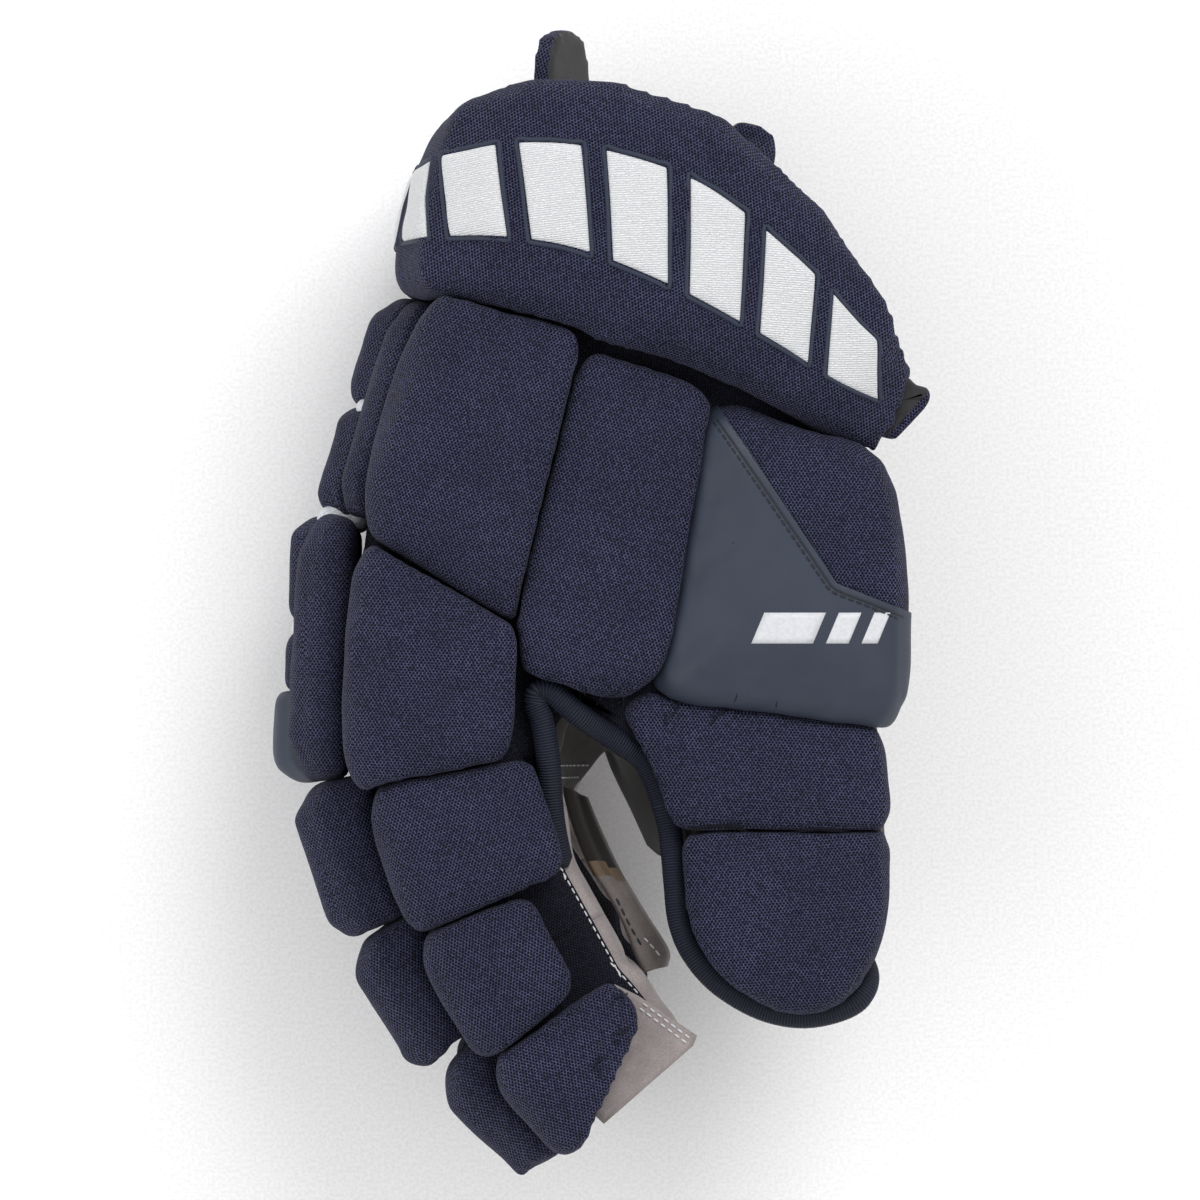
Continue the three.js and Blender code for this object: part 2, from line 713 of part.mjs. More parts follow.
function cuff() {
  const t = CUFF_THICK;
  const rollProfile = [
    [0.02, 9],
    [0.1, 2.5],
    [0.32, 0],
    [0.7, 0],
    [0.93, 2.5],
    [1, 9],
    [0.95, t],
    [0.5, t],
    [0.06, t],
  ];
  const plan = rollProfile.map(([share, depth]) => new THREE.Vector2(share * 60, depth));
  add("cuff_roll", skin(cuffRings(rollProfile, 2), plan), NAVY);
  const linerProfile = [
    [0.1, t + 1],
    [0.97, t + 1],
    [0.97, t + 2.8],
    [0.1, t + 2.8],
  ];
  const linerPlan = linerProfile.map(([share, depth]) => new THREE.Vector2(share * 60, depth));
  add("cuff_liner", skin(cuffRings(linerProfile, 3), linerPlan), LINER);
  tab("back_tab", [-14.5, 150, 96.5], 30, 27, [0, 62, 0], 6);
  tab("thumb_side_tab", [43, 134, 105.5], 20, 14, [0, 20, -22]);
  tab("palm_tab", [84, 58, 92], 20, 19, [0, 14, -78], 5);
  const crease = new THREE.Vector3(...CUFF_HINGE, CUFF_MIDDLE_Z);
  hinges.push({ name: "cuff_hinge", point: crease, axis: [0, 0, 1] });
}

// ---------------------------------------------------------------- assembly
backOfHand();
innerWalls();
thumbSide();
FINGERS.forEach(finger);
thumb();
cuff();

// The origin is at the middle of the glove's box, on the surface that it lies on.
const box = new THREE.Box3().setFromObject(glove);
const middle = box.getCenter(new THREE.Vector3());
for (const mesh of glove.children) mesh.position.set(-middle.x, -middle.y, -box.min.z);

for (const hinge of hinges) hinge.point.add(glove.children[0].position);

export { hinges };
export default glove;
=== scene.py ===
"""The looks of a right-hand ice hockey glove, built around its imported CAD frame."""

import json
import math

import bmesh
import bpy
import numpy as np
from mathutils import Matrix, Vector
from mathutils.bvhtree import BVHTree


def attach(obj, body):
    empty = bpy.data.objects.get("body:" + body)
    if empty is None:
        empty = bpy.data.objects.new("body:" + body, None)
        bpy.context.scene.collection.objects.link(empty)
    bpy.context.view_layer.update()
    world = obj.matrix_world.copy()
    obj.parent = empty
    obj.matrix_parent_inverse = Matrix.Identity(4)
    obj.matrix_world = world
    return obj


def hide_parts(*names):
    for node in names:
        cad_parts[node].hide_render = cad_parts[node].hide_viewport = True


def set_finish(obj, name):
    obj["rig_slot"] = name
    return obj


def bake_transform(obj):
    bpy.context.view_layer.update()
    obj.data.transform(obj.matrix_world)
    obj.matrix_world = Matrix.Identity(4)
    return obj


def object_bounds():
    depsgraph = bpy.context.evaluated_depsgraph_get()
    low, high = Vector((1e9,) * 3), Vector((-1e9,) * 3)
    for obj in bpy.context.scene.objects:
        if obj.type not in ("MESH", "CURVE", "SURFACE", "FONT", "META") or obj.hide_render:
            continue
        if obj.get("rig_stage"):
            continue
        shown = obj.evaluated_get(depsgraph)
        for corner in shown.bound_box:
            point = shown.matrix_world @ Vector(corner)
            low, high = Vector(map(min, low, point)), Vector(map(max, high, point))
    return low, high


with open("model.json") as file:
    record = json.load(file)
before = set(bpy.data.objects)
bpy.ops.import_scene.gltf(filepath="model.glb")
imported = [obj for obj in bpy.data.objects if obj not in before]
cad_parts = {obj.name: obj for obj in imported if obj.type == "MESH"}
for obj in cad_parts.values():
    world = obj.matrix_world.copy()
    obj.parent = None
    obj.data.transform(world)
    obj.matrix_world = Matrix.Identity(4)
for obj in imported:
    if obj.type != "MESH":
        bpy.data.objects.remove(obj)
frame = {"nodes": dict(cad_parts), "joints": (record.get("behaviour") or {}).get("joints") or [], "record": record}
cad_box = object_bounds()

# ------------------------------------------------------------------ driving dimensions
# Lengths in the tables and calls below are in millimetres, in the glove's own frame.
MM = 0.001
VIEW_WIDTH = 372 * MM  # what the camera's frame spans at the height of the glove's pads
CAMERA_HEIGHT = 3.0
FOCUS_HEIGHT = 0.11
KNIT_PITCH = 1.1 * MM
VOXEL = 2.1 * MM
PUFF_FRAMES = 20
CROWN_SPREAD = 1.3 * MM  # how far the fabric stands proud of the CAD foam before it is puffed
SIDE_SPREAD = 3.6 * MM  # and how much further at the sides, where it meets the next pad
PAD_OVERLAP = 5.5 * MM  # how far the pads of the deeper fingers go down beside their stalls
HALF_CREASE = 0.12 * MM  # what is kept free on each side of the line between two pads
NEIGHBOUR_REACH = 20 * MM  # how far a pad looks for its neighbours
PUFF_PRESSURE = 4.0
PUFF_CAP = 3.0 * MM  # the most that the pressure may add
CUFF_PUFF_CAP = 5 * MM
FLOOR_GAP = 0.3 * MM
EXTRA_SMOOTH = {"cuff_roll": 3, "index_distal_roll": 4}
INDEX_REACH = {"index_proximal_roll": 5, "index_middle_roll": -9.5}  # change of the palm side's depth

FINGERS = ("little", "ring", "middle", "index")
BONES = ("proximal", "middle", "distal")
BENDS = {
    "index": (18, 29, 41.5),
    "middle": (18, 33, 47),
    "ring": (20, 38, 53),
    "little": (20, 33, 42),
}
LITTLE_Z = 13.6
FINGER_PITCH = 25.6
FINGER_WIDTH = 24.6
PIVOT_DEPTH = 9
STALL_DEPTH = 37  # a finger's stall, from its back to the palm
INDEX_TOP = 115.0
HAND_FLEX = 24
BRAID_RADIUS = 3.75
TAB_LIFT = 6 * MM  # how far the thumb-side tab's foot is lifted to the cuff's wall

NODES = frame["nodes"]
BODY_OF = {n: b for b, ns in frame["record"]["behaviour"]["bodies"].items() for n in ns}
SLOT_OF = {p["node"]: p["material_slot"] for p in frame["record"]["subparts"]}
HINGE = {j["name"]: np.array(j["pos_m"]) / MM for j in frame["joints"]}
SEED = 7
rng = np.random.default_rng(SEED)


# ------------------------------------------------------------------ shader building
class Shader:
    """A node material, built by short calls. A socket or a number can be given as any input."""

    def __init__(self, name):
        self.material = bpy.data.materials.new(name)
        self.material.use_nodes = True
        self.tree = self.material.node_tree
        self.bsdf = self.tree.nodes["Principled BSDF"]

    def feed(self, socket, value):
        if isinstance(value, bpy.types.NodeSocket):
            self.tree.links.new(value, socket)
        elif value is not None:
            if hasattr(socket.default_value, "__len__") and not hasattr(value, "__len__"):
                value = (value,) * len(socket.default_value)
            if socket.type == "RGBA" and len(value) == 3:
                value = (*value, 1)
            socket.default_value = value

    def node(self, kind, inputs=(), **settings):
        made = self.tree.nodes.new(kind)
        for key, value in settings.items():
            setattr(made, key, value)
        for key, value in dict(inputs).items():
            self.feed(made.inputs[key], value)
        return made

    def math(self, operation, a, b=None, c=None):
        return self.node("ShaderNodeMath", {0: a, 1: b, 2: c}, operation=operation).outputs[0]

    def times(self, a, b):
        return self.math("MULTIPLY", a, b)

    def mix(self, share, a, b):
        made = self.node("ShaderNodeMix", data_type="RGBA")
        self.feed(made.inputs[0], share)
        self.feed(made.inputs[6], a)
        self.feed(made.inputs[7], b)
        return made.outputs[2]

    def tinted(self, color, amount):
        inputs = {0: color, "Scale": amount}
        return self.node("ShaderNodeVectorMath", inputs, operation="SCALE").outputs[0]

    def ramp(self, value, low, high, to_low=0.0, to_high=1.0):
        inputs = {"Value": value, "From Min": low, "From Max": high, "To Min": to_low, "To Max": to_high}
        return self.node("ShaderNodeMapRange", inputs, interpolation_type="SMOOTHSTEP").outputs[0]

    def place(self):
        return self.node("ShaderNodeTexCoord").outputs["Object"]

    def noise(self, scale, detail=2.0, roughness=0.5):
        inputs = {"Scale": scale, "Detail": detail, "Roughness": roughness, "Vector": self.place()}
        return self.node("ShaderNodeTexNoise", inputs).outputs[0]

    def cells(self, scale):
        inputs = {"Scale": scale, "Vector": self.place()}
        return self.node("ShaderNodeTexVoronoi", inputs).outputs[0]

    def weave(self):
        """The cloth's own coordinates in metres, along and across the grain."""
        uv = self.node("ShaderNodeUVMap", uv_map="weave").outputs[0]
        parts = self.node("ShaderNodeSeparateXYZ", {0: uv})
        return parts.outputs[0], parts.outputs[1]

    def bump(self, height, distance, strength):
        inputs = {"Height": height, "Distance": distance, "Strength": strength}
        return self.node("ShaderNodeBump", inputs).outputs[0]

    def finish(self, color, roughness, normal, **sockets):
        self.feed(self.bsdf.inputs["Base Color"], color)
        self.feed(self.bsdf.inputs["Roughness"], roughness)
        self.feed(self.bsdf.inputs["Normal"], normal)
        for key, value in sockets.items():
            self.bsdf.inputs[key.replace("_", " ").title().replace("Ior", "IOR")].default_value = value
        return self.material


def pits(s, u, v, pitch):
    """Distance to the nearest pit of an offset grid, in pitches."""
    best = None
    for shift in (0.0, 0.5):
        across = s.math("FRACT", s.math("MULTIPLY_ADD", u, 1 / pitch, shift))
        along = s.math("FRACT", s.math("MULTIPLY_ADD", v, 1 / (pitch * 1.5), shift))
        dx = s.math("SUBTRACT", across, 0.5)
        dy = s.times(s.math("SUBTRACT", along, 0.5), 1.5)
        squares = s.math("ADD", s.times(dx, dx), s.times(dy, dy))
        best = squares if best is None else s.math("MINIMUM", best, squares)
    return s.math("SQRT", best)


def knit(name, thread, pit, pitch=KNIT_PITCH, depth=0.45, wander=0.12):
    """Open-pored knit mesh: rows of small pits between loops of yarn."""
    s = Shader(name)
    u, v = s.weave()
    stray = s.math("SUBTRACT", s.noise(520, 2), 0.5)
    stray_too = s.math("SUBTRACT", s.noise(440, 2), 0.5)
    u = s.math("MULTIPLY_ADD", stray, pitch * wander, u)
    v = s.math("MULTIPLY_ADD", stray_too, pitch * wander, v)
    loop = s.ramp(pits(s, u, v, pitch), 0.22, 0.6)
    yarn = s.ramp(s.noise(1500, 2), 0.36, 0.66, 0.55, 1.7)
    broad = s.ramp(s.noise(45, 3), 0.3, 0.7, 0.9, 1.1)
    color = s.mix(loop, pit, s.tinted(thread, s.times(yarn, broad)))
    height = s.math("MULTIPLY_ADD", s.noise(2200, 2), 0.3, loop)
    normal = s.bump(height, depth * MM, 0.75)
    sheen = {"sheen_weight": 0.04, "sheen_roughness": 0.4}
    return s.finish(color, 0.8, normal, specular_ior_level=0.15, **sheen)


def vinyl(name, color):
    """Coated fabric with a fine pebble grain and a soft sheen."""
    s = Shader(name)
    grain = s.cells(1500)
    broad = s.ramp(s.noise(40, 3), 0.3, 0.7, 0.93, 1.07)
    lit = s.tinted(color, s.times(broad, s.ramp(grain, 0.0, 0.7, 0.93, 1.05)))
    height = s.math("MULTIPLY_ADD", grain, 0.5, s.noise(420, 4))
    normal = s.bump(height, 0.07 * MM, 0.5)
    return s.finish(lit, s.ramp(grain, 0, 0.8, 0.5, 0.6), normal, specular_ior_level=0.4)


def suede(name, color, contrast=0.14):
    """Napped synthetic suede: short mottled pile."""
    s = Shader(name)
    nap = s.noise(1600, 4, 0.7)
    tint = s.times(s.ramp(nap, 0.3, 0.7, 1 - contrast, 1 + contrast),
                   s.ramp(s.noise(130, 3), 0.3, 0.7, 0.9, 1.08))
    normal = s.bump(s.math("MULTIPLY_ADD", s.noise(260, 3), 0.8, nap), 0.16 * MM, 0.6)
    sheen = {"sheen_weight": 0.18, "sheen_roughness": 0.5}
    return s.finish(s.tinted(color, tint), 0.92, normal, specular_ior_level=0.15, **sheen)


def ribbed(name, color, pitch, depth, shade=0.55, wander=0.5, **sockets):
    """Threads side by side across a piece: satin stitch, grosgrain braid or tape."""
    s = Shader(name)
    u, v = s.weave()
    u = s.math("MULTIPLY_ADD", s.math("SUBTRACT", s.noise(900, 2), 0.5), pitch * wander, u)
    wave = s.math("SINE", s.times(u, 2 * math.pi / pitch))
    rib = s.math("MULTIPLY_ADD", wave, 0.5, 0.5)
    yarn = s.ramp(s.noise(1800, 2), 0.3, 0.7, 0.92, 1.08)
    tint = s.times(s.ramp(rib, 0.0, 0.7, shade, 1.0), yarn)
    normal = s.bump(s.math("MULTIPLY_ADD", s.noise(1500, 2), 0.4, rib), depth * MM, 0.8)
    return s.finish(s.tinted(color, tint), 0.62, normal, **sockets)


def moulded(name, color, roughness=0.45):
    """A smooth surface with a faint grain: plastic, print or the floor."""
    s = Shader(name)
    grain = s.noise(900, 3)
    tint = s.ramp(grain, 0.3, 0.7, 0.94, 1.05)
    return s.finish(s.tinted(color, tint), roughness, s.bump(grain, 0.04 * MM, 0.4))


NAVY = knit("navy_knit", (0.080, 0.083, 0.168), (0.0012, 0.0016, 0.005))
# A darker copy of the navy knit: the fingers' dark gusset knit, and painted shade where it stands for the navy
# knit of the wrist and under the pads.
GUSSET_AND_SHADE_KNIT = knit("dark_knit_and_shade", (0.017, 0.018, 0.034), (0.0012, 0.0012, 0.003), 1.0 * MM, 0.35, 0.4)
VINYL = vinyl("slate_vinyl", (0.026, 0.034, 0.055))
TAUPE = suede("taupe_suede", (0.29, 0.255, 0.252))
# A darker copy of the taupe suede: painted shade, for suede that lies deep in the palm.
SHADED_TAUPE = suede("half_shade_suede", (0.17, 0.148, 0.14))
CHARCOAL = suede("charcoal_suede", (0.036, 0.035, 0.037))
OLIVE = suede("inner_suede", (0.062, 0.056, 0.052))
# Taupe suede darkened to near black: painted shade for folds and insides that lie deep.
DEEP_SHADE_SUEDE = suede("deep_shade_suede", (0.02, 0.017, 0.015))
LINER = suede("liner_cloth", (0.011, 0.012, 0.018))
BRAID = ribbed("braid", (0.0165, 0.021, 0.043), 0.87 * MM, 0.6, 0.15, 0.25, specular_ior_level=0.3)
SATIN = ribbed("satin_stitch", (0.76, 0.77, 0.79), 0.7 * MM, 0.3, 0.78, 0.9,
               specular_ior_level=0.35, sheen_weight=0.1)
OUTLINE = ribbed("outline_stitch", (0.018, 0.026, 0.055), 0.5 * MM, 0.12, 0.7)
TAPE = ribbed("white_tape", (0.74, 0.76, 0.80), 0.6 * MM, 0.15, 0.8)
THREAD = ribbed("white_thread", (0.70, 0.70, 0.72), 0.3 * MM, 0.05, 0.8)
DARK_THREAD = ribbed("dark_thread", (0.012, 0.014, 0.022), 0.3 * MM, 0.05, 0.6)
LABEL = ribbed("tan_label", (0.14, 0.095, 0.06), 0.5 * MM, 0.1, 0.8)
PLASTIC = moulded("shield_plastic", (0.72, 0.72, 0.70))
PRINT = moulded("white_print", (0.62, 0.63, 0.66), 0.55)
SLOT_MATERIAL = {
    "knit": NAVY,
    "vinyl": VINYL,
    "stripe": TAPE,
    "braid": BRAID,
    "plastic": PLASTIC,
    "palm_suede": TAUPE,
    "dark_suede": CHARCOAL,
    "liner": LINER,
}


# ------------------------------------------------------------------ mesh helpers
def link(name, mesh):
    made = bpy.data.objects.new(name, mesh)
    bpy.context.scene.collection.objects.link(made)
    return made


def dress(obj, *materials):
    obj.data.materials.clear()
    for material in materials:
        obj.data.materials.append(material)


def read(items, what, width=1, kind=np.float32):
    """An attribute of every item of a mesh, one row an item."""
    found = np.empty(len(items) * width, kind)
    items.foreach_get(what, found)
    return found.reshape(-1, width) if width > 1 else found


def points_of(obj):
    return read(obj.data.vertices, "co", 3).astype(float)


def normals_of(obj):
    return read(obj.data.vertices, "normal", 3).astype(float)


def set_points(obj, co):
    obj.data.vertices.foreach_set("co", co.astype(np.float32).ravel())
    obj.data.update()


def swell(obj, amount):
    """Moves the skin outwards by an amount in millimetres."""
    set_points(obj, points_of(obj) + normals_of(obj) * amount * MM)


def set_weave(mesh, uv):
    """Stores the cloth's coordinates, one pair a face corner."""
    layer = mesh.uv_layers.get("weave") or mesh.uv_layers.new(name="weave")
    layer.data.foreach_set("uv", uv.astype(np.float32).ravel())


def corners_of(mesh):
    return read(mesh.loops, "vertex_index", 1, np.int32)


def shade_smooth(mesh):
    mesh.polygons.foreach_set("use_smooth", np.ones(len(mesh.polygons), bool))


def unit(vectors):
    """The vectors at length one."""
    return vectors / np.maximum(np.linalg.norm(vectors, axis=-1, keepdims=True), 1e-6)


def lengths_along(line):
    """The distance of each point of a line from its start, measured along it."""
    return np.concatenate([[0], np.cumsum(np.linalg.norm(np.diff(line, axis=0), axis=1))])


def baked(obj):
    """The object's mesh with its modifiers applied, which are then removed."""
    bpy.context.view_layer.update()
    shape = obj.evaluated_get(bpy.context.evaluated_depsgraph_get())
    mesh = bpy.data.meshes.new_from_object(shape)
    obj.modifiers.clear()
    obj.data = mesh
    return mesh


def smoothed(obj, iterations=2, subdivisions=1):
    if iterations:
        relax = obj.modifiers.new("relax", "SMOOTH")
        relax.factor = 0.5
        relax.iterations = iterations
    if subdivisions:
        subdivide = obj.modifiers.new("subdivide", "SUBSURF")
        subdivide.levels = subdivide.render_levels = subdivisions
    baked(obj)
    return obj


def remeshed(name, source, voxel=VOXEL, smooth=3):
    """A copy of a mesh as an even skin of small quads."""
    obj = link(name, source.copy())
    remesh = obj.modifiers.new("remesh", "REMESH")
    remesh.mode = "VOXEL"
    remesh.voxel_size = voxel
    return smoothed(obj, smooth, 0)


def lay_grain(obj, angle=0):
    """Gives the mesh its cloth coordinates, projected square on to each face."""
    mesh = obj.data
    a = math.radians(angle)
    turn = np.array([[math.cos(a), math.sin(a), 0], [-math.sin(a), math.cos(a), 0], [0, 0, 1]])
    co = points_of(obj) @ turn.T
    facing = np.abs(read(mesh.polygons, "normal", 3) @ turn.T).argmax(1)
    sizes = read(mesh.polygons, "loop_total", 1, np.int32)
    along = np.array([[2, 1], [0, 2], [0, 1]])[np.repeat(facing, sizes)]
    set_weave(mesh, np.take_along_axis(co[corners_of(mesh)], along, 1))


def spline(points, steps, closed=False):
    """A Catmull-Rom curve through the points along the first axis, `steps` parts a span."""
    p = np.asarray(points, float)
    if closed:
        padded = np.concatenate([p[-1:], p, p[:2]])
    else:
        padded = np.concatenate([2 * p[:1] - p[1:2], p, 2 * p[-1:] - p[-2:-1]])
    made = []
    for i in range(len(padded) - 3):
        a, b, c, d = padded[i:i + 4]
        for k in range(steps):
            t = k / steps
            made.append(0.5 * (2 * b + (c - a) * t + (2 * a - 5 * b + 4 * c - d) * t * t
                               + (3 * b - a - 3 * c + d) * t ** 3))
    if not closed:
        made.append(p[-1])
    return np.array(made)


def fine_grid(rows, down, across, closed=False):
    """Rows of points with more rows and columns splined in between."""
    return spline(spline(rows, down).transpose(1, 0, 2), across, closed).transpose(1, 0, 2)


def grid_mesh(name, grid, caps=(False, False), wrap=True):
    """A skin over rows of points in millimetres; each row is a ring if wrap is true."""
    rows, count = grid.shape[:2]
    verts = (grid.reshape(-1, 3) * MM).tolist()
    last = count if wrap else count - 1
    faces = []
    for r in range(rows - 1):
        for i in range(last):
            here, beside = r * count + i, r * count + (i + 1) % count
            faces.append((here, beside, beside + count, here + count))
    for want, row in zip(caps, (0, rows - 1)):
        if want:
            middle = len(verts)
            verts.append((grid[row].mean(0) * MM).tolist())
            faces += [(middle, row * count + i, row * count + (i + 1) % count) for i in range(count)]
    mesh = bpy.data.meshes.new(name)
    mesh.from_pydata(verts, [], faces)
    tidy = bmesh.new()
    tidy.from_mesh(mesh)
    bmesh.ops.recalc_face_normals(tidy, faces=tidy.faces)
    tidy.to_mesh(mesh)
    tidy.free()
    shade_smooth(mesh)
    return link(name, mesh)


def thicken(obj, thickness, offset=-1):
    solid = obj.modifiers.new("thickness", "SOLIDIFY")
    solid.thickness = thickness * MM
    solid.offset = offset
    baked(obj)
    return obj


def paint(obj, choose):
    """Sets each face's material index: choose takes arrays of centres (in mm) and normals."""
    faces = obj.data.polygons
    picked = choose(read(faces, "center", 3) / MM, read(faces, "normal", 3))
    faces.foreach_set("material_index", np.asarray(picked, np.int32))
    obj.data.update()


def tree_of(*objects):
    """A search tree over the objects' meshes."""
    verts, faces = [], []
    for obj in objects:
        first = len(verts)
        verts += [tuple(c) for c in points_of(obj)]
        faces += [[first + i for i in p.vertices] for p in obj.data.polygons]
    return BVHTree.FromPolygons(verts, faces)


def weave_along(obj, at):
    """Cloth coordinates from one length a vertex, for threads side by side."""
    run = at[corners_of(obj.data)]
    set_weave(obj.data, np.stack([run, np.zeros(len(run))], 1))


def tube(name, path, radius, sides=12, steps=6, ends=True, flat=1.0):
    """A round or flattened tube along points in millimetres, with cloth coordinates along it."""
    line = spline(path, steps)
    along = unit(np.gradient(line, axis=0))
    side = unit(np.cross(along, (0, 0, 1.0)))
    top = np.cross(side, along)
    turns = np.linspace(0, 2 * np.pi, sides, endpoint=False)
    size = np.full(len(line), radius) if np.isscalar(radius) else np.interp(
        np.linspace(0, 1, len(line)), np.linspace(0, 1, len(radius)), radius)
    if ends:
        trim = size[[0, -1]] * 0.7
        line = np.concatenate([line[:1] - along[:1] * trim[0], line, line[-1:] + along[-1:] * trim[1]])
        side, top = (np.concatenate([a[:1], a, a[-1:]]) for a in (side, top))
        size = np.concatenate([size[:1] * 0.55, size, size[-1:] * 0.55])
    grid = (line[:, None] + size[:, None, None] * (
        side[:, None] * np.cos(turns)[None, :, None]
        + top[:, None] * np.sin(turns)[None, :, None] * flat))
    obj = grid_mesh(name, grid, (ends, ends))
    length = lengths_along(line)
    at = np.concatenate([np.repeat(length, sides), length[[0, -1]] if ends else []]) * MM
    weave_along(obj, at)
    return obj


def stitches(name, path, length, gap, radius, steps=4):
    """Separate stitches along a line of points in millimetres, as one mesh."""
    line = spline(path, steps) if len(path) > 2 else np.asarray(path, float)
    run = lengths_along(line)
    verts, faces = [], []
    start = 0.0
    while start + length < run[-1]:
        ends = [np.array([np.interp(x, run, line[:, k]) for k in range(3)])
                for x in (start, start + length)]
        bar = np.linspace(0, 1, 5)[:, None] * (ends[1] - ends[0]) + ends[0]
        along = unit(ends[1] - ends[0])
        side = unit(np.cross(along, (0, 0, 1.0)))
        top = np.cross(side, along)
        first = len(verts)
        for place, size in zip(bar, (0.5, 0.95, 1.0, 0.95, 0.5)):
            for k in range(6):
                turn = k * math.pi / 3
                verts.append(place + radius * size * (side * math.cos(turn) + top * math.sin(turn)))
        for here in range(first, first + 24, 6):
            faces += [[here + i, here + (i + 1) % 6, here + 6 + (i + 1) % 6, here + 6 + i]
                      for i in range(6)]
        faces += [list(range(first, first + 6))[::-1], list(range(first + 24, first + 30))]
        start += length + gap
    mesh = bpy.data.meshes.new(name)
    mesh.from_pydata([tuple(v * MM) for v in verts], [], faces)
    shade_smooth(mesh)
    obj = link(name, mesh)
    lay_grain(obj)
    return obj


def joined(name, objects):
    """One object made of several meshes with the same materials."""
    merged = bmesh.new()
    for obj in objects:
        merged.from_mesh(obj.data)
    materials = list(objects[0].data.materials)
    mesh = bpy.data.meshes.new(name)
    merged.to_mesh(mesh)
    merged.free()
    for obj in objects:
        bpy.data.objects.remove(obj)
    made = link(name, mesh)
    dress(made, *materials)
    return made


def place_piece(obj, body, slot, *nodes):
    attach(obj, body)
    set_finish(obj, slot)
    if nodes:
        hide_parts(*nodes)


def place_across(obj, bodies, start, end, slot, *nodes):
    """A piece between two bodies, baked where it stands and given its slot; bodies, start and end (in millimetres)
    are not used.
    """
    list(bodies)
    Vector(start) * MM
    Vector(end) * MM
    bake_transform(obj)
    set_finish(obj, slot)
    if nodes:
        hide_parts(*nodes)


def sew(name, line, size, material, body, slot):
    """A row of stitches of one size (length, gap, radius) that rides a body."""
    row = stitches(name, line, *size)
    dress(row, material)
    place_piece(row, body, slot)


def place_group(name, pieces, material, body, slot):
    """Several small pieces in one material, joined to one that rides a body."""
    for small in pieces:
        dress(small, material)
    made = joined(name, pieces)
    place_piece(made, body, slot)
    return made


def piece(name):
    return bpy.data.objects[name]


# ------------------------------------------------------------------ where things are
def hand_seat(y):
    """X of the index column's seat at a height Y: the back of the hand leans out."""
    shown = max(y - HAND_FLEX, 0) / 66
    below = max(HAND_FLEX - y, 0) / 79
    return -61.1 + 20.5 * shown - 4 * below


def palm_x(y):
    """X of the palm's face at a height Y."""
    return float(np.interp(y, (-48, -40, -12, 25, 55, 80, 110), (-13, -12, 12, 27, 36, 40, 46)))


def column_of(finger):
    low = LITTLE_Z + FINGERS.index(finger) * FINGER_PITCH
    return low, low + FINGER_WIDTH


def bone_place(finger, bone):
    """Maps (t along the bone, q from its back to the palm, z) to a point, all in millimetres."""
    hinge = HINGE[f"{finger}_{bone}_hinge"]
    a = math.radians(BENDS[finger][BONES.index(bone)])
    along = np.array((math.sin(a), -math.cos(a), 0))
    across = np.array((math.cos(a), math.sin(a), 0))

    def at(t, q, z):
        p = hinge + along * t + across * (q - PIVOT_DEPTH)
        return np.array((p[0], p[1], z))

    return at


def bone_length(finger, bone):
    i = BONES.index(bone)
    if i == 2:
        return {"index": 33, "middle": 40, "ring": 37, "little": 30}[finger]
    here, there = (HINGE[f"{finger}_{b}_hinge"] for b in BONES[i:i + 2])
    return float(np.linalg.norm(there - here))


def grain_angle(node):
    """The direction of the knit on a node, in degrees from the glove's own axis."""
    parts = node.split("_")
    if parts[0] in FINGERS and parts[1] in BONES:
        return BENDS[parts[0]][BONES.index(parts[1])]
    if parts[1] == "upper" or node in ("ring_roll_1", "ring_roll_2", "thumb_side_roll"):
        return -16
    if node == "cuff_roll":
        return -28
    if node == "thumb_tip_pad":
        return 4
    return -3


# ------------------------------------------------------------------ braided bindings
def make_bindings():
    """One braid from the index finger's side round the crotch and the thumb's edge."""
    index_part = [(-12.8, -80.5, 112), (-14.6, -72, 114), (-15.8, -62, 115.5), (-16.6, -50, 117),
                  (-18.5, -38, 118.2), (-20.6, -32, 118.6)]
    crotch_part = [(-20.6, -32, 118.6), (-19.8, -28.6, 118.8), (-16.2, -28.3, 118.8),
                   (-12, -31.5, 118.4), (-6.8, -35.8, 117), (0, -40.5, 113), (6.5, -44.8, 111),
                   (12.4, -49.2, 109), (16.6, -56.2, 108), (19.2, -63.5, 107.8)]
    tip_part = [(19.2, -63.5, 107.8), (21, -70.8, 107.9), (22, -79, 108.2), (22.8, -88, 108.6),
                (24.2, -100, 109), (28.4, -109.9, 109.4), (36.8, -119.3, 109.6),
                (49.8, -126.8, 109.8), (63, -129.2, 109.8), (75.6, -126.4, 109.4), (81.6, -121.4, 107.6),
                (83.2, -115.4, 103.6), (80.6, -108, 99.6)]
    thinning = [BRAID_RADIUS] * 9 + [BRAID_RADIUS * 0.8, BRAID_RADIUS * 0.5]
    knuckle, seam = HINGE["index_proximal_hinge"], HINGE["thumb_tip_hinge"]
    parts = [
        ("braid_index", index_part, BRAID_RADIUS, ("hand", "index_proximal"),
         knuckle + (20, 14, 0), knuckle + (24, 0, 0), "index_edge_binding"),
        ("braid_crotch", crotch_part, BRAID_RADIUS, ("hand", "thumb_base"),
         (0, -39, 0), (8, -46, 0), "crotch_binding"),
        ("braid_thumb", tip_part, thinning, ("thumb_base", "thumb_tip"),
         seam + (0, 5, 0), seam - (0, 5, 0), "thumb_tip_binding"),
    ]
    for name, path, radius, bodies, start, end, node in parts:
        obj = tube(name, path, radius, flat=0.85)
        dress(obj, BRAID)
        place_across(obj, bodies, start, end, "braid", node)


make_bindings()


# ------------------------------------------------------------------ padded rolls
PAD_NODES = sorted(n for n in NODES if SLOT_OF[n] in ("knit", "vinyl"))


def outward(node):
    """The way that a pad faces, away from the hand inside."""
    parts = node.split("_")
    if node == "heel_pad":
        return Vector((0, 0, -1))
    if parts[0] == "thumb" or node == "cuff_roll":
        return Vector((0, 0, 1))
    side = {"index": 1, "little": -1}.get(parts[0], 0)
    return Vector((-1, 0, side)).normalized()


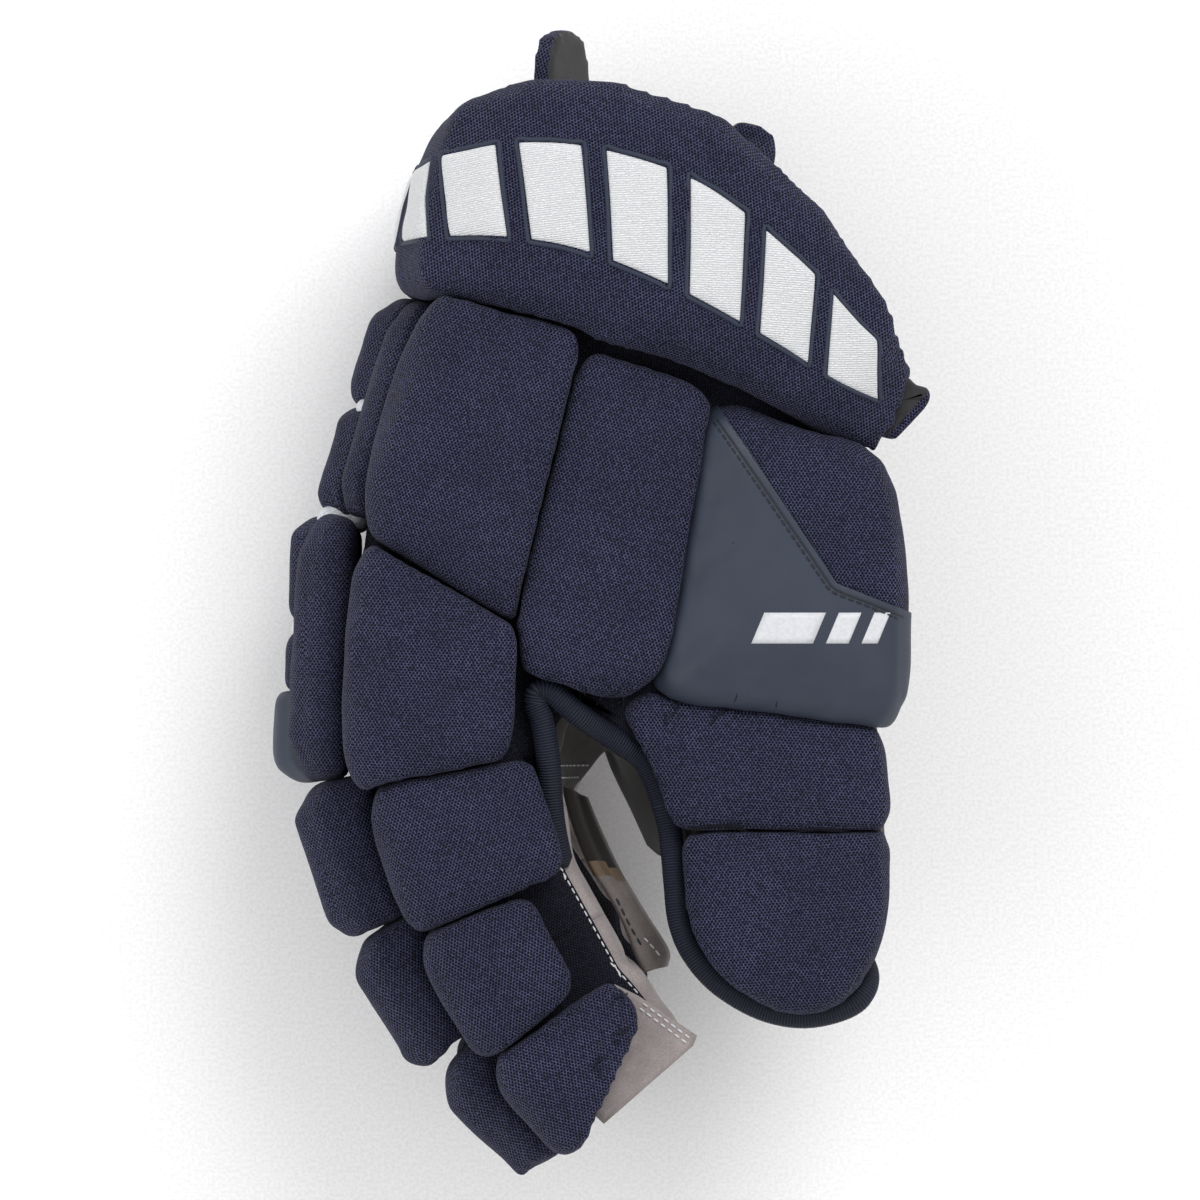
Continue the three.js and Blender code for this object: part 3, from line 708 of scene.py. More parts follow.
def clipped(source, point, normal):
    """A copy of a mesh with what lies beyond a plane cut off and the cut closed."""
    cut = bmesh.new()
    cut.from_mesh(source)
    bmesh.ops.remove_doubles(cut, verts=cut.verts[:], dist=0.001 * MM)
    geometry = cut.verts[:] + cut.edges[:] + cut.faces[:]
    found = bmesh.ops.bisect_plane(cut, geom=geometry, plane_co=Vector(point) * MM,
                                   plane_no=normal, clear_outer=True)
    edges = [e for e in found["geom_cut"] if isinstance(e, bmesh.types.BMEdge)]
    bmesh.ops.holes_fill(cut, edges=edges, sides=0)
    made = bpy.data.meshes.new("clipped")
    cut.to_mesh(made)
    cut.free()
    return made


def deepened(source, place, past, reach):
    """A copy of a finger pad's mesh whose palm side, past a depth, reaches further down."""
    made = source.copy()
    co = read(made.vertices, "co", 3).astype(float)
    origin = place(0, 0, 0) * (1, 1, 0) * MM
    across = place(0, 1, 0) - place(0, 0, 0)
    depth = (co - origin) @ across
    co += across * (depth > past)[:, None] * reach
    made.vertices.foreach_set("co", co.astype(np.float32).ravel())
    return made


def cornered(source):
    """A copy of the cuff's mesh, its palm end drawn out to a corner over the thumb's base."""
    made = source.copy()
    co = read(made.vertices, "co", 3).astype(float)
    out = np.clip((co[:, 0] / MM - 58) / 32, 0, 1)
    low = np.clip((86 - co[:, 1] / MM) / 33, 0, 1)
    co[:, 0] += out * 3 * MM
    co[:, 1] -= out * low * 12 * MM
    made.vertices.foreach_set("co", co.astype(np.float32).ravel())
    return made


def pad_source(node):
    """The CAD mesh that a pad starts from. The index fingertip's pad ends in a slant."""
    source = NODES[node].data
    finger, bone = node.split("_")[:2]
    if node == "cuff_roll":
        return cornered(source)
    if node == "index_distal_roll":
        at = bone_place(finger, bone)
        low, high = at(36.5, -13, 0), at(15.5, 37, 0)
        along = high - low
        return clipped(source, low, Vector((along[1], -along[0], 0)).normalized())
    if finger in ("middle", "ring") and bone in BONES:
        return deepened(source, bone_place(finger, bone), -2.5 * MM, PAD_OVERLAP)
    if node in INDEX_REACH:
        return deepened(source, bone_place(finger, bone), 20 * MM, INDEX_REACH[node] * MM)
    return source


def room_for(node, co, move):
    """The share of each point's move that keeps it nearer to its own pad than to any other."""
    others = [NODES[n] for n in PAD_NODES if n != node]
    if node.startswith("thumb"):
        others += [piece("braid_crotch"), piece("braid_thumb")]
    tree = tree_of(*others)
    shares = np.ones(len(co))
    for i, (start, way) in enumerate(zip(co, move)):
        length = float(np.linalg.norm(way))

        def fits(share):
            near = tree.find_nearest(Vector(start + way * share), NEIGHBOUR_REACH)[3]
            return near is None or near > length * share + 2 * HALF_CREASE

        if fits(1):
            continue
        low, high = 0.0, 1.0
        for _ in range(4):
            middle = (low + high) / 2
            low, high = (middle, high) if fits(middle) else (low, middle)
        shares[i] = low
    return shares


def puff(pads):
    """Blows all the pads up at once as cloth under pressure and returns their new points."""
    starts = [points_of(obj) for obj, node in pads]
    faces, pinned = [], []
    first = 0
    for (obj, node), co in zip(pads, starts):
        faces += [[first + i for i in p.vertices] for p in obj.data.polygons]
        seated = normals_of(obj) @ np.array(outward(node)) < -0.6
        pinned += list(first + np.where(seated)[0])
        first += len(co)
    mesh = bpy.data.meshes.new("puff")
    mesh.from_pydata(np.concatenate(starts).tolist(), [], faces)
    everything = link("puff", mesh)
    group = everything.vertex_groups.new(name="seat")
    group.add([int(i) for i in pinned], 1.0, "REPLACE")
    cloth = everything.modifiers.new("cloth", "CLOTH")
    cloth.settings.quality = 4
    cloth.settings.use_pressure = True
    cloth.settings.uniform_pressure_force = PUFF_PRESSURE
    cloth.settings.effector_weights.gravity = 0
    cloth.settings.vertex_group_mass = "seat"
    cloth.collision_settings.use_collision = False
    cloth.point_cache.frame_end = PUFF_FRAMES
    for step in range(1, PUFF_FRAMES + 1):
        bpy.context.scene.frame_set(step)
    baked(everything)
    blown = points_of(everything)
    bpy.data.objects.remove(everything)
    bpy.context.scene.frame_set(1)
    return np.split(blown, np.cumsum([len(co) for co in starts])[:-1])


def held_in(node, co, normals):
    """Shares of the swelling that the thumb's outer side and the cuff's palm end may have."""
    if node.startswith("thumb") and node != "thumb_side_roll":
        return 1 - 0.85 * np.clip(normals[:, 0] * 1.6 - 0.3, 0, 1)
    if node == "cuff_roll":
        palm_end = np.clip(co[:, 0] / MM / 20, 0, 1)
        return 1 - 0.9 * palm_end * np.clip(-normals[:, 1] * 1.6 - 0.3, 0, 1)
    return np.ones(len(normals))


def grow_pads(pads):
    """Spreads the pads to meet their neighbours and puffs them up between."""
    blown = puff(pads)
    for (obj, node), moved in zip(pads, blown):
        co, normals = points_of(obj), normals_of(obj)
        seated = np.clip(-(normals @ np.array(outward(node))) * 2 - 0.4, 0, 1)
        move = moved - co
        length = np.linalg.norm(move, axis=1, keepdims=True)
        cap = CUFF_PUFF_CAP if node == "cuff_roll" else PUFF_CAP
        move *= cap * np.tanh(length / cap) / np.maximum(length, 1e-9)
        sideways = 1 - np.abs(normals @ np.array(outward(node)))
        move += normals * ((CROWN_SPREAD + SIDE_SPREAD * sideways) * (1 - seated))[:, None]
        move *= held_in(node, co, normals)[:, None]
        set_points(obj, co + move * room_for(node, co, move)[:, None])


def wrinkled(obj, amount):
    """Slow waves over the fabric, so that no two pads are quite alike."""
    co = points_of(obj)
    height = np.zeros(len(co))
    for k in range(7):
        direction = unit(rng.normal(size=3))
        length = rng.uniform(11, 30) * MM
        height += np.sin(co @ direction * 2 * math.pi / length + rng.uniform(0, 6.28))
    set_points(obj, co + normals_of(obj) * (height / 3)[:, None] * amount * MM)


def finish_pad(obj, node, material):
    """Smooths, wrinkles, dresses and declares a pad."""
    smoothed(obj, 1, 1)
    wrinkled(obj, 0.2)
    co = points_of(obj)
    co[:, 2] = np.maximum(co[:, 2], FLOOR_GAP)
    set_points(obj, co)
    shade_smooth(obj.data)
    lay_grain(obj, grain_angle(node))
    dress(obj, material)
    place_piece(obj, BODY_OF[node], SLOT_OF[node], node)


PADS = {}


def make_pads():
    """Every foam roll and pad, grown together and then finished one by one."""
    pads = [(remeshed("pad_" + n, pad_source(n), smooth=EXTRA_SMOOTH.get(n, 1)), n) for n in PAD_NODES]
    grow_pads(pads)
    for obj, node in pads:
        finish_pad(obj, node, SLOT_MATERIAL[SLOT_OF[node]])
        PADS[node] = obj


make_pads()


# ------------------------------------------------------------------ finger stalls
def stall_section(depth, width, grip):
    """Half of a finger's section as (q, half width): a square back, and a narrower palm side."""
    half = width / 2
    side = [(0, 0), (0.4, 0.6 * half), (2.5, 0.9 * half), (7, half), (depth * 0.5, half),
            (depth - 5, half), (depth - 3, 0.96 * half), (depth - 1.2, 0.86 * half)]
    palm = [(depth, 0.72 * half), (depth + grip * 0.4, 0.68 * half), (depth + grip * 0.8, 0.58 * half),
            (depth + grip + 0.4, 0.3 * half), (depth + grip + 0.6, 0)]
    return side + palm


def stall_ring(place, t, lean, depth, width, grip, low, high):
    """One ring round a finger; lean tilts it at a joint."""
    half = stall_section(depth, width, grip)
    loop = half + [(q, -w) for q, w in half[-2:0:-1]]
    middle = (low + high) / 2
    return [place(t + lean * (q - PIVOT_DEPTH), q, middle + w) for q, w in loop]


def finger_stations(finger):
    """(bone, t, lean, depth, grip) from the root to the tip, and the rows in a bone's middle,
    where the pieces meet."""
    lengths = [bone_length(finger, b) for b in BONES]
    bends = BENDS[finger]
    lean = [math.tan(math.radians((b - a) / 2)) for a, b in zip((0, *bends), bends)]
    root = {"index": (36, 6), "middle": (58, 6), "ring": (58, 6), "little": (36, 13)}[finger]
    tip_depth = 36 if finger == "little" else 39.5
    deep = [(root[0] - (root[0] - STALL_DEPTH) * s, root[1]) for s in (0, 0, 0.45, 0.8)]
    grip = 3.5 if finger == "index" else 5
    l0, l1, l2 = lengths
    return [
        ("hand", -9, 0, *deep[0]), ("proximal", 0, lean[0], *deep[1]),
        ("proximal", 10, 0, *deep[2]), ("proximal", l0 / 2, 0, *deep[3]),
        ("proximal", l0 - 9, 0, STALL_DEPTH, grip), ("middle", 0, lean[1], STALL_DEPTH, grip),
        ("middle", 9, 0, STALL_DEPTH, grip), ("middle", l1 / 2, 0, STALL_DEPTH, grip),
        ("middle", l1 - 9, 0, STALL_DEPTH, grip), ("distal", 0, lean[2], STALL_DEPTH, grip * 0.8),
        ("distal", 9, 0, STALL_DEPTH, 4), ("distal", l2 - 14, 0, tip_depth - 3, 3),
    ], (3, 7)


def finger_grid(finger):
    """The rings of a whole finger and the rows where its pieces meet."""
    low, high = column_of(finger)
    stations, joins = finger_stations(finger)
    hinge = HINGE[f"{finger}_proximal_hinge"]

    def hand_place(t, q, z):
        return np.array((hinge[0] + q - PIVOT_DEPTH, hinge[1] - t, z))

    rings = []
    for bone, t, lean, depth, grip in stations:
        place = hand_place if bone == "hand" else bone_place(finger, bone)
        rings.append(stall_ring(place, t, lean, depth, FINGER_WIDTH, grip, low, high))
    place = bone_place(finger, "distal")
    length = bone_length(finger, "distal")
    middle = np.array(place(length - 14, 20, (low + high) / 2))
    last = np.array(rings[-1])
    along = place(1, 0, 0) - place(0, 0, 0)
    for step, shrink in ((6, 0.985), (10.5, 0.93), (13.2, 0.8), (14.2, 0.5)):
        rings.append((last - middle) * shrink + middle + along * step)
    return np.array(rings), joins


def make_stalls():
    """Each finger's stall in three pieces: knit, with suede on the palm side."""
    for finger in FINGERS:
        rings, joins = finger_grid(finger)
        steps = 4
        grid = fine_grid(rings, steps, 2, True)
        cuts = [0, joins[0] * steps, joins[1] * steps, len(grid) - 1]
        parents = ["hand", f"{finger}_proximal", f"{finger}_middle"]
        for i, bone in enumerate(BONES):
            rows = grid[cuts[i]:cuts[i + 1] + 1]
            obj = grid_mesh(f"stall_{finger}_{bone}", rows, (False, i == 2))
            place = bone_place(finger, bone)
            along = place(1, 0, 0) - place(0, 0, 0)
            palm_from = place(14, 0, 0) if (finger, bone) == ("index", "proximal") else place(-99, 0, 0)
            count = rows.shape[1]

            def choose(centre, normal):
                column = np.arange(len(centre)) % count
                palm = (column >= count / 3) & (column < count * 2 / 3)
                return np.where(palm & ((centre - palm_from) @ along > 0), 1, 0)

            dress(obj, GUSSET_AND_SHADE_KNIT, TAUPE)
            paint(obj, choose)
            thicken(obj, 0.9)
            lay_grain(obj, BENDS[finger][i])
            hinge = HINGE[f"{finger}_{bone}_hinge"]
            bent = math.radians((BENDS[finger][i] + ((0,) + BENDS[finger])[i]) / 2)
            bend = np.array((math.sin(bent), -math.cos(bent), 0))
            place_across(obj, (parents[i], f"{finger}_{bone}"), hinge - bend * 7, hinge + bend * 7,
                         "liner", f"{finger}_{bone}_sleeve")


make_stalls()


# ------------------------------------------------------------------ the hand's own skin
def rounded_ring(corners, radius, steps=3):
    """The corners [x, z] of a section, each rounded off."""
    points = [np.array(c, float) for c in corners]
    made = []
    for i, corner in enumerate(points):
        before, after = points[i - 1], points[(i + 1) % len(points)]

        def towards(to):
            gap = np.linalg.norm(to - corner)
            return corner + (to - corner) / gap * min(radius, gap * 0.45)

        a, b = towards(before), towards(after)
        for k in range(steps):
            t = k / (steps - 1)
            made.append(a * (1 - t) ** 2 + corner * 2 * t * (1 - t) + b * t * t)
    return made


def hand_ring(y, tuck=0.0):
    """One ring of the hand's bag at a height Y."""
    s, p = hand_seat(y) + 0.8 + tuck, palm_x(y) - tuck
    arch = float(np.interp(y, (22, 29), (14, 8))) - 0.8
    low, high = LITTLE_Z + 0.3 + tuck, INDEX_TOP - 0.6 - tuck
    corners = [(s, low), (s, 39), (s - arch, 41), (s - arch, 89), (s, 91), (s, high),
               (p - 8, high), (p, high - 9), (p + 1.5, 60), (p, low + 8), (p - 8, low)]
    return [(x, y, z) for x, z in rounded_ring(corners, 5)]


def make_hand():
    """A sewn bag: liner at the back and sides, suede over the palm, open at the wrist."""
    heights = (96, 84, 70, 55, 40, 27, 22, 5, -12, -26, -38, -46)
    rings = [hand_ring(y) for y in heights]
    rings += [hand_ring(-50, 2), hand_ring(-51.5, 8)]
    grid = spline(np.array(rings), 3)
    obj = grid_mesh("hand_bag", grid, (False, True))
    # The back and sides take the darker knit: painted shade in the gaps between the pads.
    dress(obj, GUSSET_AND_SHADE_KNIT, TAUPE, OLIVE)

    def choose(centre, normal):
        palm = (centre[:, 0] > np.array([palm_x(y) - 7 for y in centre[:, 1]])) & (centre[:, 2] < 108)
        fork = (centre[:, 1] < -30) & (centre[:, 2] > 84)
        return np.where(palm & (centre[:, 1] < 76), np.where(fork, 2, 1), 0)

    paint(obj, choose)
    thicken(obj, 1.4)
    lay_grain(obj, -3)
    place_piece(obj, "hand", "palm_suede", "back_liner", "thumb_side_liner", "little_side_liner",
                "palm_panel")


def plan_inset(outline, distance):
    """An outline in X and Y moved inwards by a distance."""
    p = np.array(outline, float)
    along = unit(np.roll(p, -1, 0) - np.roll(p, 1, 0))
    area = np.sum(p[:, 0] * np.roll(p[:, 1], -1) - np.roll(p[:, 0], -1) * p[:, 1])
    inwards = np.stack([-along[:, 1], along[:, 0]], 1) * np.sign(area)
    return p + inwards * distance


def slab(name, corners, levels, radius=9):
    """A pouch over an outline in X and Y. levels: [(inset, z)]."""
    outline = np.array(rounded_ring(corners, radius))
    rings = []
    for shrink, z in levels:
        ring = plan_inset(outline, shrink)
        rings.append([(x, y, z) for x, y in ring])
    return grid_mesh(name, fine_grid(rings, 3, 2, True), (True, True))


THUMB_BLOCK = [(34, 56.5), (88, 39.5), (92, 12), (91.5, -31), (84, -39), (20, -32), (19, -14)]


def make_thenar():
    """The pouch for the ball of the thumb, under the base block."""
    levels = [(0, 100.6), (0, 90), (1.5, 82), (5, 78), (12, 76)]
    obj = slab("thenar_pouch", THUMB_BLOCK, levels)
    dress(obj, GUSSET_AND_SHADE_KNIT, TAUPE)
    paint(obj, lambda centre, normal: np.where((normal[:, 2] < -0.25) & (centre[:, 2] < 88), 1, 0))
    lay_grain(obj, -3)
    place_piece(obj, "hand", "palm_suede", "thenar_panel")


THUMB_STATIONS = [
    (-32, 20, 85), (-42, 17.5, 86), (-52, 18.5, 87), (-62, 22, 87.5), (-71, 24.5, 88), (-85, 25.5, 88.5),
    (-98, 27, 88), (-108, 31, 86), (-116, 37, 82), (-122.5, 45, 76), (-126, 54, 68),
]
THUMB_RISE = 0.07
THUMB_ROOT = -37


def thumb_height(y):
    return 102.4 + THUMB_RISE * (THUMB_ROOT - y)


def thumb_ring(y, x0, x1):
    """One ring of the thumb's stall at a height Y."""
    top = thumb_height(y)
    deep = float(np.interp(y, (-126, -118, -100, -32), (12, 20, 24, 24)))
    corners = [(x0, top), (x1, top), (x1 - 0.5, top - deep * 0.6), (x1 - 8, top - deep),
               (x0 + 8, top - deep), (x0 + 0.5, top - deep * 0.6)]
    return [(x, y, z) for x, z in rounded_ring(corners, 7)]


def make_thumb():
    """The thumb's stall in two pieces that meet under the seam."""
    steps = 4
    grid = fine_grid([thumb_ring(*s) for s in THUMB_STATIONS], steps, 2, True)
    join = 2 * steps + 2
    seam = HINGE["thumb_tip_hinge"]
    root = HINGE["thumb_base_hinge"]
    parts = [
        ("thumb_base", grid[:join + 1], False, "hand", root, 4),
        ("thumb_tip", grid[join:], True, "thumb_base", seam, 5),
    ]
    for name, rows, closed, parent, hinge, reach in parts:
        obj = grid_mesh("stall_" + name, rows, (False, closed))
        dress(obj, CHARCOAL, TAUPE)
        paint(obj, lambda centre, normal: np.where(normal[:, 2] < -0.55, 1, 0))
        thicken(obj, 1.0)
        lay_grain(obj, 0)
        place_across(obj, (parent, name), hinge + (0, reach, 0), hinge - (0, reach, 0),
                     "dark_suede", name + "_sleeve")


make_hand()
make_thenar()
make_thumb()


# ------------------------------------------------------------------ the wrist and cuff
# Each station: lower and upper edge in X and Y, then Z, and the way the cuff faces in degrees.
CUFF_UPPER_HALF = [
    ((-64.1, 95.9), (-50.6, 145.9), 66, 0),
    ((-63.1, 95.4), (-49.1, 147.9), 98, 6),
    ((-55.1, 94.4), (-42.6, 152.9), 121, 42),
    ((-33.6, 91.9), (-22.6, 157.9), 131.5, 78),
    ((-10.6, 86.4), (3.4, 156.9), 134, 90),
    ((17.4, 73.9), (36.4, 146.4), 134, 92),
    ((45.4, 63.4), (66.4, 118.9), 130, 100),
    ((67.4, 55.4), (85.4, 92.9), 122, 122),
    ((83.4, 51.9), (93.4, 76.9), 108, 160),
]
CUFF_MIDDLE_Z = 66


def cuff_stations():
    """The cuff's stations from the little-finger side's palm end round the back to the other."""
    mirrored = [(low, up, max(2 * CUFF_MIDDLE_Z - z, 0.3), -min(faces, 90))
                for low, up, z, faces in CUFF_UPPER_HALF[1:7]][::-1]
    return mirrored + CUFF_UPPER_HALF


def cuff_point(station, share, depth):
    """A point at a share of the cuff's width and a depth inside its outer face."""
    low, up, z, faces = station
    a = math.radians(faces)
    x, y = (low[k] + (up[k] - low[k]) * share for k in (0, 1))
    return np.array((x + math.cos(a) * depth, y, z - math.sin(a) * depth))


def make_wrist():
    """Knit that joins the hand to the cuff, sewn in under both."""
    rows = []
    for share, depth in ((-0.42, 21), (-0.2, 19.5), (0.0, 18.5), (0.2, 19), (0.4, 19.5)):
        rows.append([cuff_point(s, share, depth) for s in cuff_stations()])
    obj = grid_mesh("wrist_band", fine_grid(rows, 3, 4), wrap=False)
    thicken(obj, 1.2, 0)
    # The wrist band is navy knit in shadow; the darker knit here is painted shade.
    dress(obj, GUSSET_AND_SHADE_KNIT)
    lay_grain(obj, -28)
    place_across(obj, ("hand", "cuff"), (-20, 76, 66), (-16, 92, 66), "liner")


def make_cuff_lining():
    """The cuff's brushed lining, with a softly rolled edge."""
    profile = [(0.04, 15.5), (0.1, 19), (0.4, 20.5), (0.8, 20), (0.95, 17.5), (0.985, 14)]
    rows = [[cuff_point(s, share, depth + max(0, 30 - s[2]) * 0.1) for s in cuff_stations()]
            for share, depth in profile]
    obj = grid_mesh("cuff_lining", fine_grid(rows, 3, 4), wrap=False)
    thicken(obj, 1.4, 0)
    dress(obj, LINER)
    lay_grain(obj, -28)
    place_piece(obj, "cuff", "liner", "cuff_liner")


make_wrist()
make_cuff_lining()


# ------------------------------------------------------------------ laying things on surfaces
def drop(tree, x, y, lift=0.0):
    """The point on a surface straight below (x, y), in millimetres."""
    hit = tree.ray_cast(Vector((x, y, 300)) * MM, Vector((0, 0, -1)))[0]
    return None if hit is None else np.array(hit) / MM + (0, 0, lift)


def dropped(tree, path, lift=0.0):
    """A line of (x, y) laid on a surface, as points 1.5 mm apart."""
    p = spline(np.array(path, float), 8) if len(path) > 2 else np.array(path, float)
    run = lengths_along(p)
    at = np.linspace(0, run[-1], max(2, int(run[-1] / 1.5)))
    found = [drop(tree, np.interp(s, run, p[:, 0]), np.interp(s, run, p[:, 1]), lift) for s in at]
    return np.array([f for f in found if f is not None])


def split_by(source, name, keep, planes, offset, thickness):
    """A layer over part of a piece: cut along the planes, lifted off and thickened."""
    cut = bmesh.new()
    cut.from_mesh(source.data)
    for point, normal in planes:
        geometry = cut.verts[:] + cut.edges[:] + cut.faces[:]
        bmesh.ops.bisect_plane(cut, geom=geometry, plane_co=Vector(point) * MM, plane_no=normal)
    away = [f for f in cut.faces if not keep(np.array(f.calc_center_median()) / MM)]
    bmesh.ops.delete(cut, geom=away, context="FACES")
    for v in cut.verts:
        v.co += v.normal * offset * MM
    mesh = bpy.data.meshes.new(name)
    cut.to_mesh(mesh)
    cut.free()
    obj = link(name, mesh)
    thicken(obj, thickness)
    shade_smooth(obj.data)
    return obj


def pillow(name, surface, columns, rows, height, edge=0.22):
    """A raised patch. surface(i, j, lift) gives the point at shares i and j of its two sides."""
    def share(k, count):
        return min(max((k - 1) / (count - 3), 0), 1)

    grid = np.zeros((rows, columns, 3))
    for r in range(rows):
        for c in range(columns):
            i, j = share(c, columns), share(r, rows)
            skirt = r in (0, rows - 1) or c in (0, columns - 1)
            rim = min(i, 1 - i) / edge, min(j, 1 - j) / (edge * 0.5)
            swell = min(1, min(rim)) if not skirt else 0
            lift = -0.8 if skirt else height * (0.55 + 0.45 * math.sin(swell * math.pi / 2))
            grid[r, c] = surface(i, j, lift)
    return grid_mesh(name, grid, wrap=False)


def lay_threads(obj, direction):
    """Cloth coordinates whose first axis runs along a direction, for threads side by side."""
    weave_along(obj, points_of(obj) @ np.array(direction, float))


# ------------------------------------------------------------------ thumb-base block
SEAM = ((35.0, 61.0), (72.4, 5.0), (96, -4.4))
PRINT_Y = -13.5
PRINT_HEIGHT = 9.5
PRINT_SLANT = 4
PRINT_LIFT = 0.12


def beyond(p, a, b):
    """How far a point lies to the left of the line from a to b."""
    a, b = np.array(a), np.array(b)
    along = unit(b - a)
    return along[0] * (p[1] - a[1]) - along[1] * (p[0] - a[0])


def make_block_cover():
    """Slate vinyl over the lower part of the block, its edge folded and sewn to the knit."""
    block = PADS["thumb_base_block"]
    dress(block, NAVY)
    block["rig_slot"] = "knit"
    planes = []
    for a, b in zip(SEAM, SEAM[1:]):
        dx, dy = b[0] - a[0], b[1] - a[1]
        planes.append(((*a, 110), Vector((-dy, dx, 0)).normalized()))

    def keep(p):
        return not (beyond(p, SEAM[0], SEAM[1]) > 0 and beyond(p, SEAM[1], SEAM[2]) > 0)

    cover = split_by(block, "block_vinyl", keep, planes, 0.9, 1.0)
    dress(cover, VINYL)
    lay_grain(cover)
    place_piece(cover, "hand", "vinyl")
    tree = tree_of(cover)
    inside = [(35.6, 55.5), (52, 31.6), (68.5, 7.4), (70.6, 4.3), (74, 2.2), (84, -1.6), (93.2, -5.4)]
    fold = tube("block_fold", dropped(tree, inside, 0.05), 0.35, 6, 2, flat=0.6)
    dress(fold, DARK_THREAD)
    place_piece(fold, "hand", "vinyl")
    line = dropped(tree, [(x - 1.0, y - 0.8) for x, y in inside], 0.12)
    sew("block_stitches", line, (2.0, 0.7, 0.32), DARK_THREAD, "hand", "vinyl")
    return tree


def slanted_bar(name, tree, x, width):
    """A flat slanted bar printed on a surface, its left end at x."""
    def surface(i, j, up):
        at = x + width * i + PRINT_SLANT * (j - 0.5), PRINT_Y + PRINT_HEIGHT * j
        hit = drop(tree, *at, PRINT_LIFT if up > 0 else -0.3)
        return hit if hit is not None else np.array((*at, 118))

    return pillow(name, surface, 10, 8, PRINT_LIFT, 0.02)


def make_printed_bars(tree):
    """Three plain bars on the vinyl, each a little narrower than the one before."""
    bars = [slanted_bar(f"printed_bar_{x}", tree, x, width) for x, width in ((48, 19), (71, 7), (82, 5))]
    lay_grain(place_group("printed_bars", bars, PRINT, "hand", "vinyl"))


make_printed_bars(make_block_cover())


# ------------------------------------------------------------------ satin bars round the cuff
BAR_SPAN = (0.30, 0.74)  # across the cuff, as shares of its width
BAR_LENGTH = 19.0
BAR_PITCH = 26.5
BAR_SLANT = 9.0
BAR_HEIGHT = 1.25
BARS_FREE = (12, 62)  # how much of the cuff has no bars, at its palm end and at the other end
OUTLINE_MARGIN = 1.6
CUFF_WIDTH = 62


def make_cuff_bars():
    """Plain slanted bars in raised satin stitch, each inside a dark outline."""
    tree = tree_of(PADS["cuff_roll"])
    table = spline([(*low, *up, z, faces) for low, up, z, faces in cuff_stations()], 10)
    middle = (table[:, :2] + table[:, 2:4]) / 2
    run = lengths_along(np.column_stack([middle, table[:, 4]]))

    def on_cuff(s, w, lift):
        low_x, low_y, up_x, up_y, z, faces = (np.interp(s, run, table[:, k]) for k in range(6))
        a = math.radians(faces)
        out = np.array((-math.cos(a), 0, math.sin(a)))
        start = np.array((low_x + (up_x - low_x) * w, low_y + (up_y - low_y) * w, z)) + out * 30
        hit = tree.ray_cast(Vector(start) * MM, Vector(-out))[0]
        point = np.array(hit) / MM if hit is not None else start - out * 30
        return point + out * lift

    bars, outlines = [], []
    first = run[-1] - BARS_FREE[0]
    for k in range(int((first - BARS_FREE[1]) / BAR_PITCH)):
        centre = first - BAR_LENGTH / 2 - k * BAR_PITCH

        def surface(i, j, lift, centre=centre, grow=0.0):
            s = centre + (i - 0.5) * (BAR_LENGTH + grow) + (j - 0.5) * -BAR_SLANT
            w = BAR_SPAN[0] + (BAR_SPAN[1] - BAR_SPAN[0]) * j + (j - 0.5) * grow / CUFF_WIDTH
            return on_cuff(s, w, lift)

        bar = pillow(f"satin_bar_{k}", surface, 16, 22, BAR_HEIGHT)
        smoothed(bar, 1, 1)
        lay_threads(bar, unit(surface(0.5, 1, 0) - surface(0.5, 0, 0)))
        bars.append(bar)
        corners = [(0, 0), (0.5, 0), (1, 0), (1, 0.5), (1, 1), (0.5, 1), (0, 1), (0, 0.5), (0, 0.02)]
        loop = [surface(i, j, 0.1, centre, OUTLINE_MARGIN) for i, j in corners]
        path = []
        for a, b in zip(loop, loop[1:]):
            path += [a, a * 0.66 + b * 0.34, a * 0.33 + b * 0.67]
        outline = tube(f"bar_outline_{k}", path + [loop[0]], 0.75, 8, 2, False, flat=0.7)
        outlines.append(outline)
    place_group("satin_bars", bars, SATIN, "cuff", "stripe")
    place_group("bar_outlines", outlines, OUTLINE, "cuff", "braid")


make_cuff_bars()


# ------------------------------------------------------------------ tabs and flex stripes
def sew_in(tab):
    """Lift the foot of the thumb-side tab to the cuff's upper wall."""
    co = points_of(tab)
    co[:, 2] += TAB_LIFT * np.clip((143 * MM - co[:, 1]) / (9 * MM), 0, 1)
    set_points(tab, co)


def make_tabs():
    """Knit-faced pull tabs lined with suede."""
    lined = {"back_tab": (0.88, 0, 0.47), "thumb_side_tab": (0, 0, 1)}
    for node, side in lined.items():
        obj = remeshed(node + "_cloth", NODES[node].data, 1.2 * MM, 3)
        swell(obj, 0.4)
        smoothed(obj, 0, 1)
        if node == "thumb_side_tab":
            sew_in(obj)
        shade_smooth(obj.data)
        dress(obj, NAVY, CHARCOAL)
        flip = node == "thumb_side_tab"
        paint(obj, lambda centre, normal: np.where((normal @ np.array(side) > 0.35) != flip, 1, 0))
        lay_grain(obj, -20)
        place_piece(obj, "cuff", "dark_suede", node)


PALM_TAB = [(84, 71), (95, 69.5), (97.5, 66.5), (101.2, 66), (102.2, 63), (100.6, 59.8),
            (91, 49.6), (82, 52)]


def make_palm_tab():
    """A short folded suede tab sewn in at the cuff's palm end."""
    obj = slab("palm_tab_cloth", PALM_TAB, [(0, 99), (0, 104.4), (0.7, 106), (2.6, 106.4)], 2)
    dress(obj, NAVY, CHARCOAL)

    def choose(centre, normal):
        return (normal[:, 2] > 0.3) & (beyond(centre.T, (88, 48), (101, 61)) > 2.2)

    paint(obj, choose)
    lay_grain(obj, 40)
    place_piece(obj, "cuff", "dark_suede", "palm_tab")


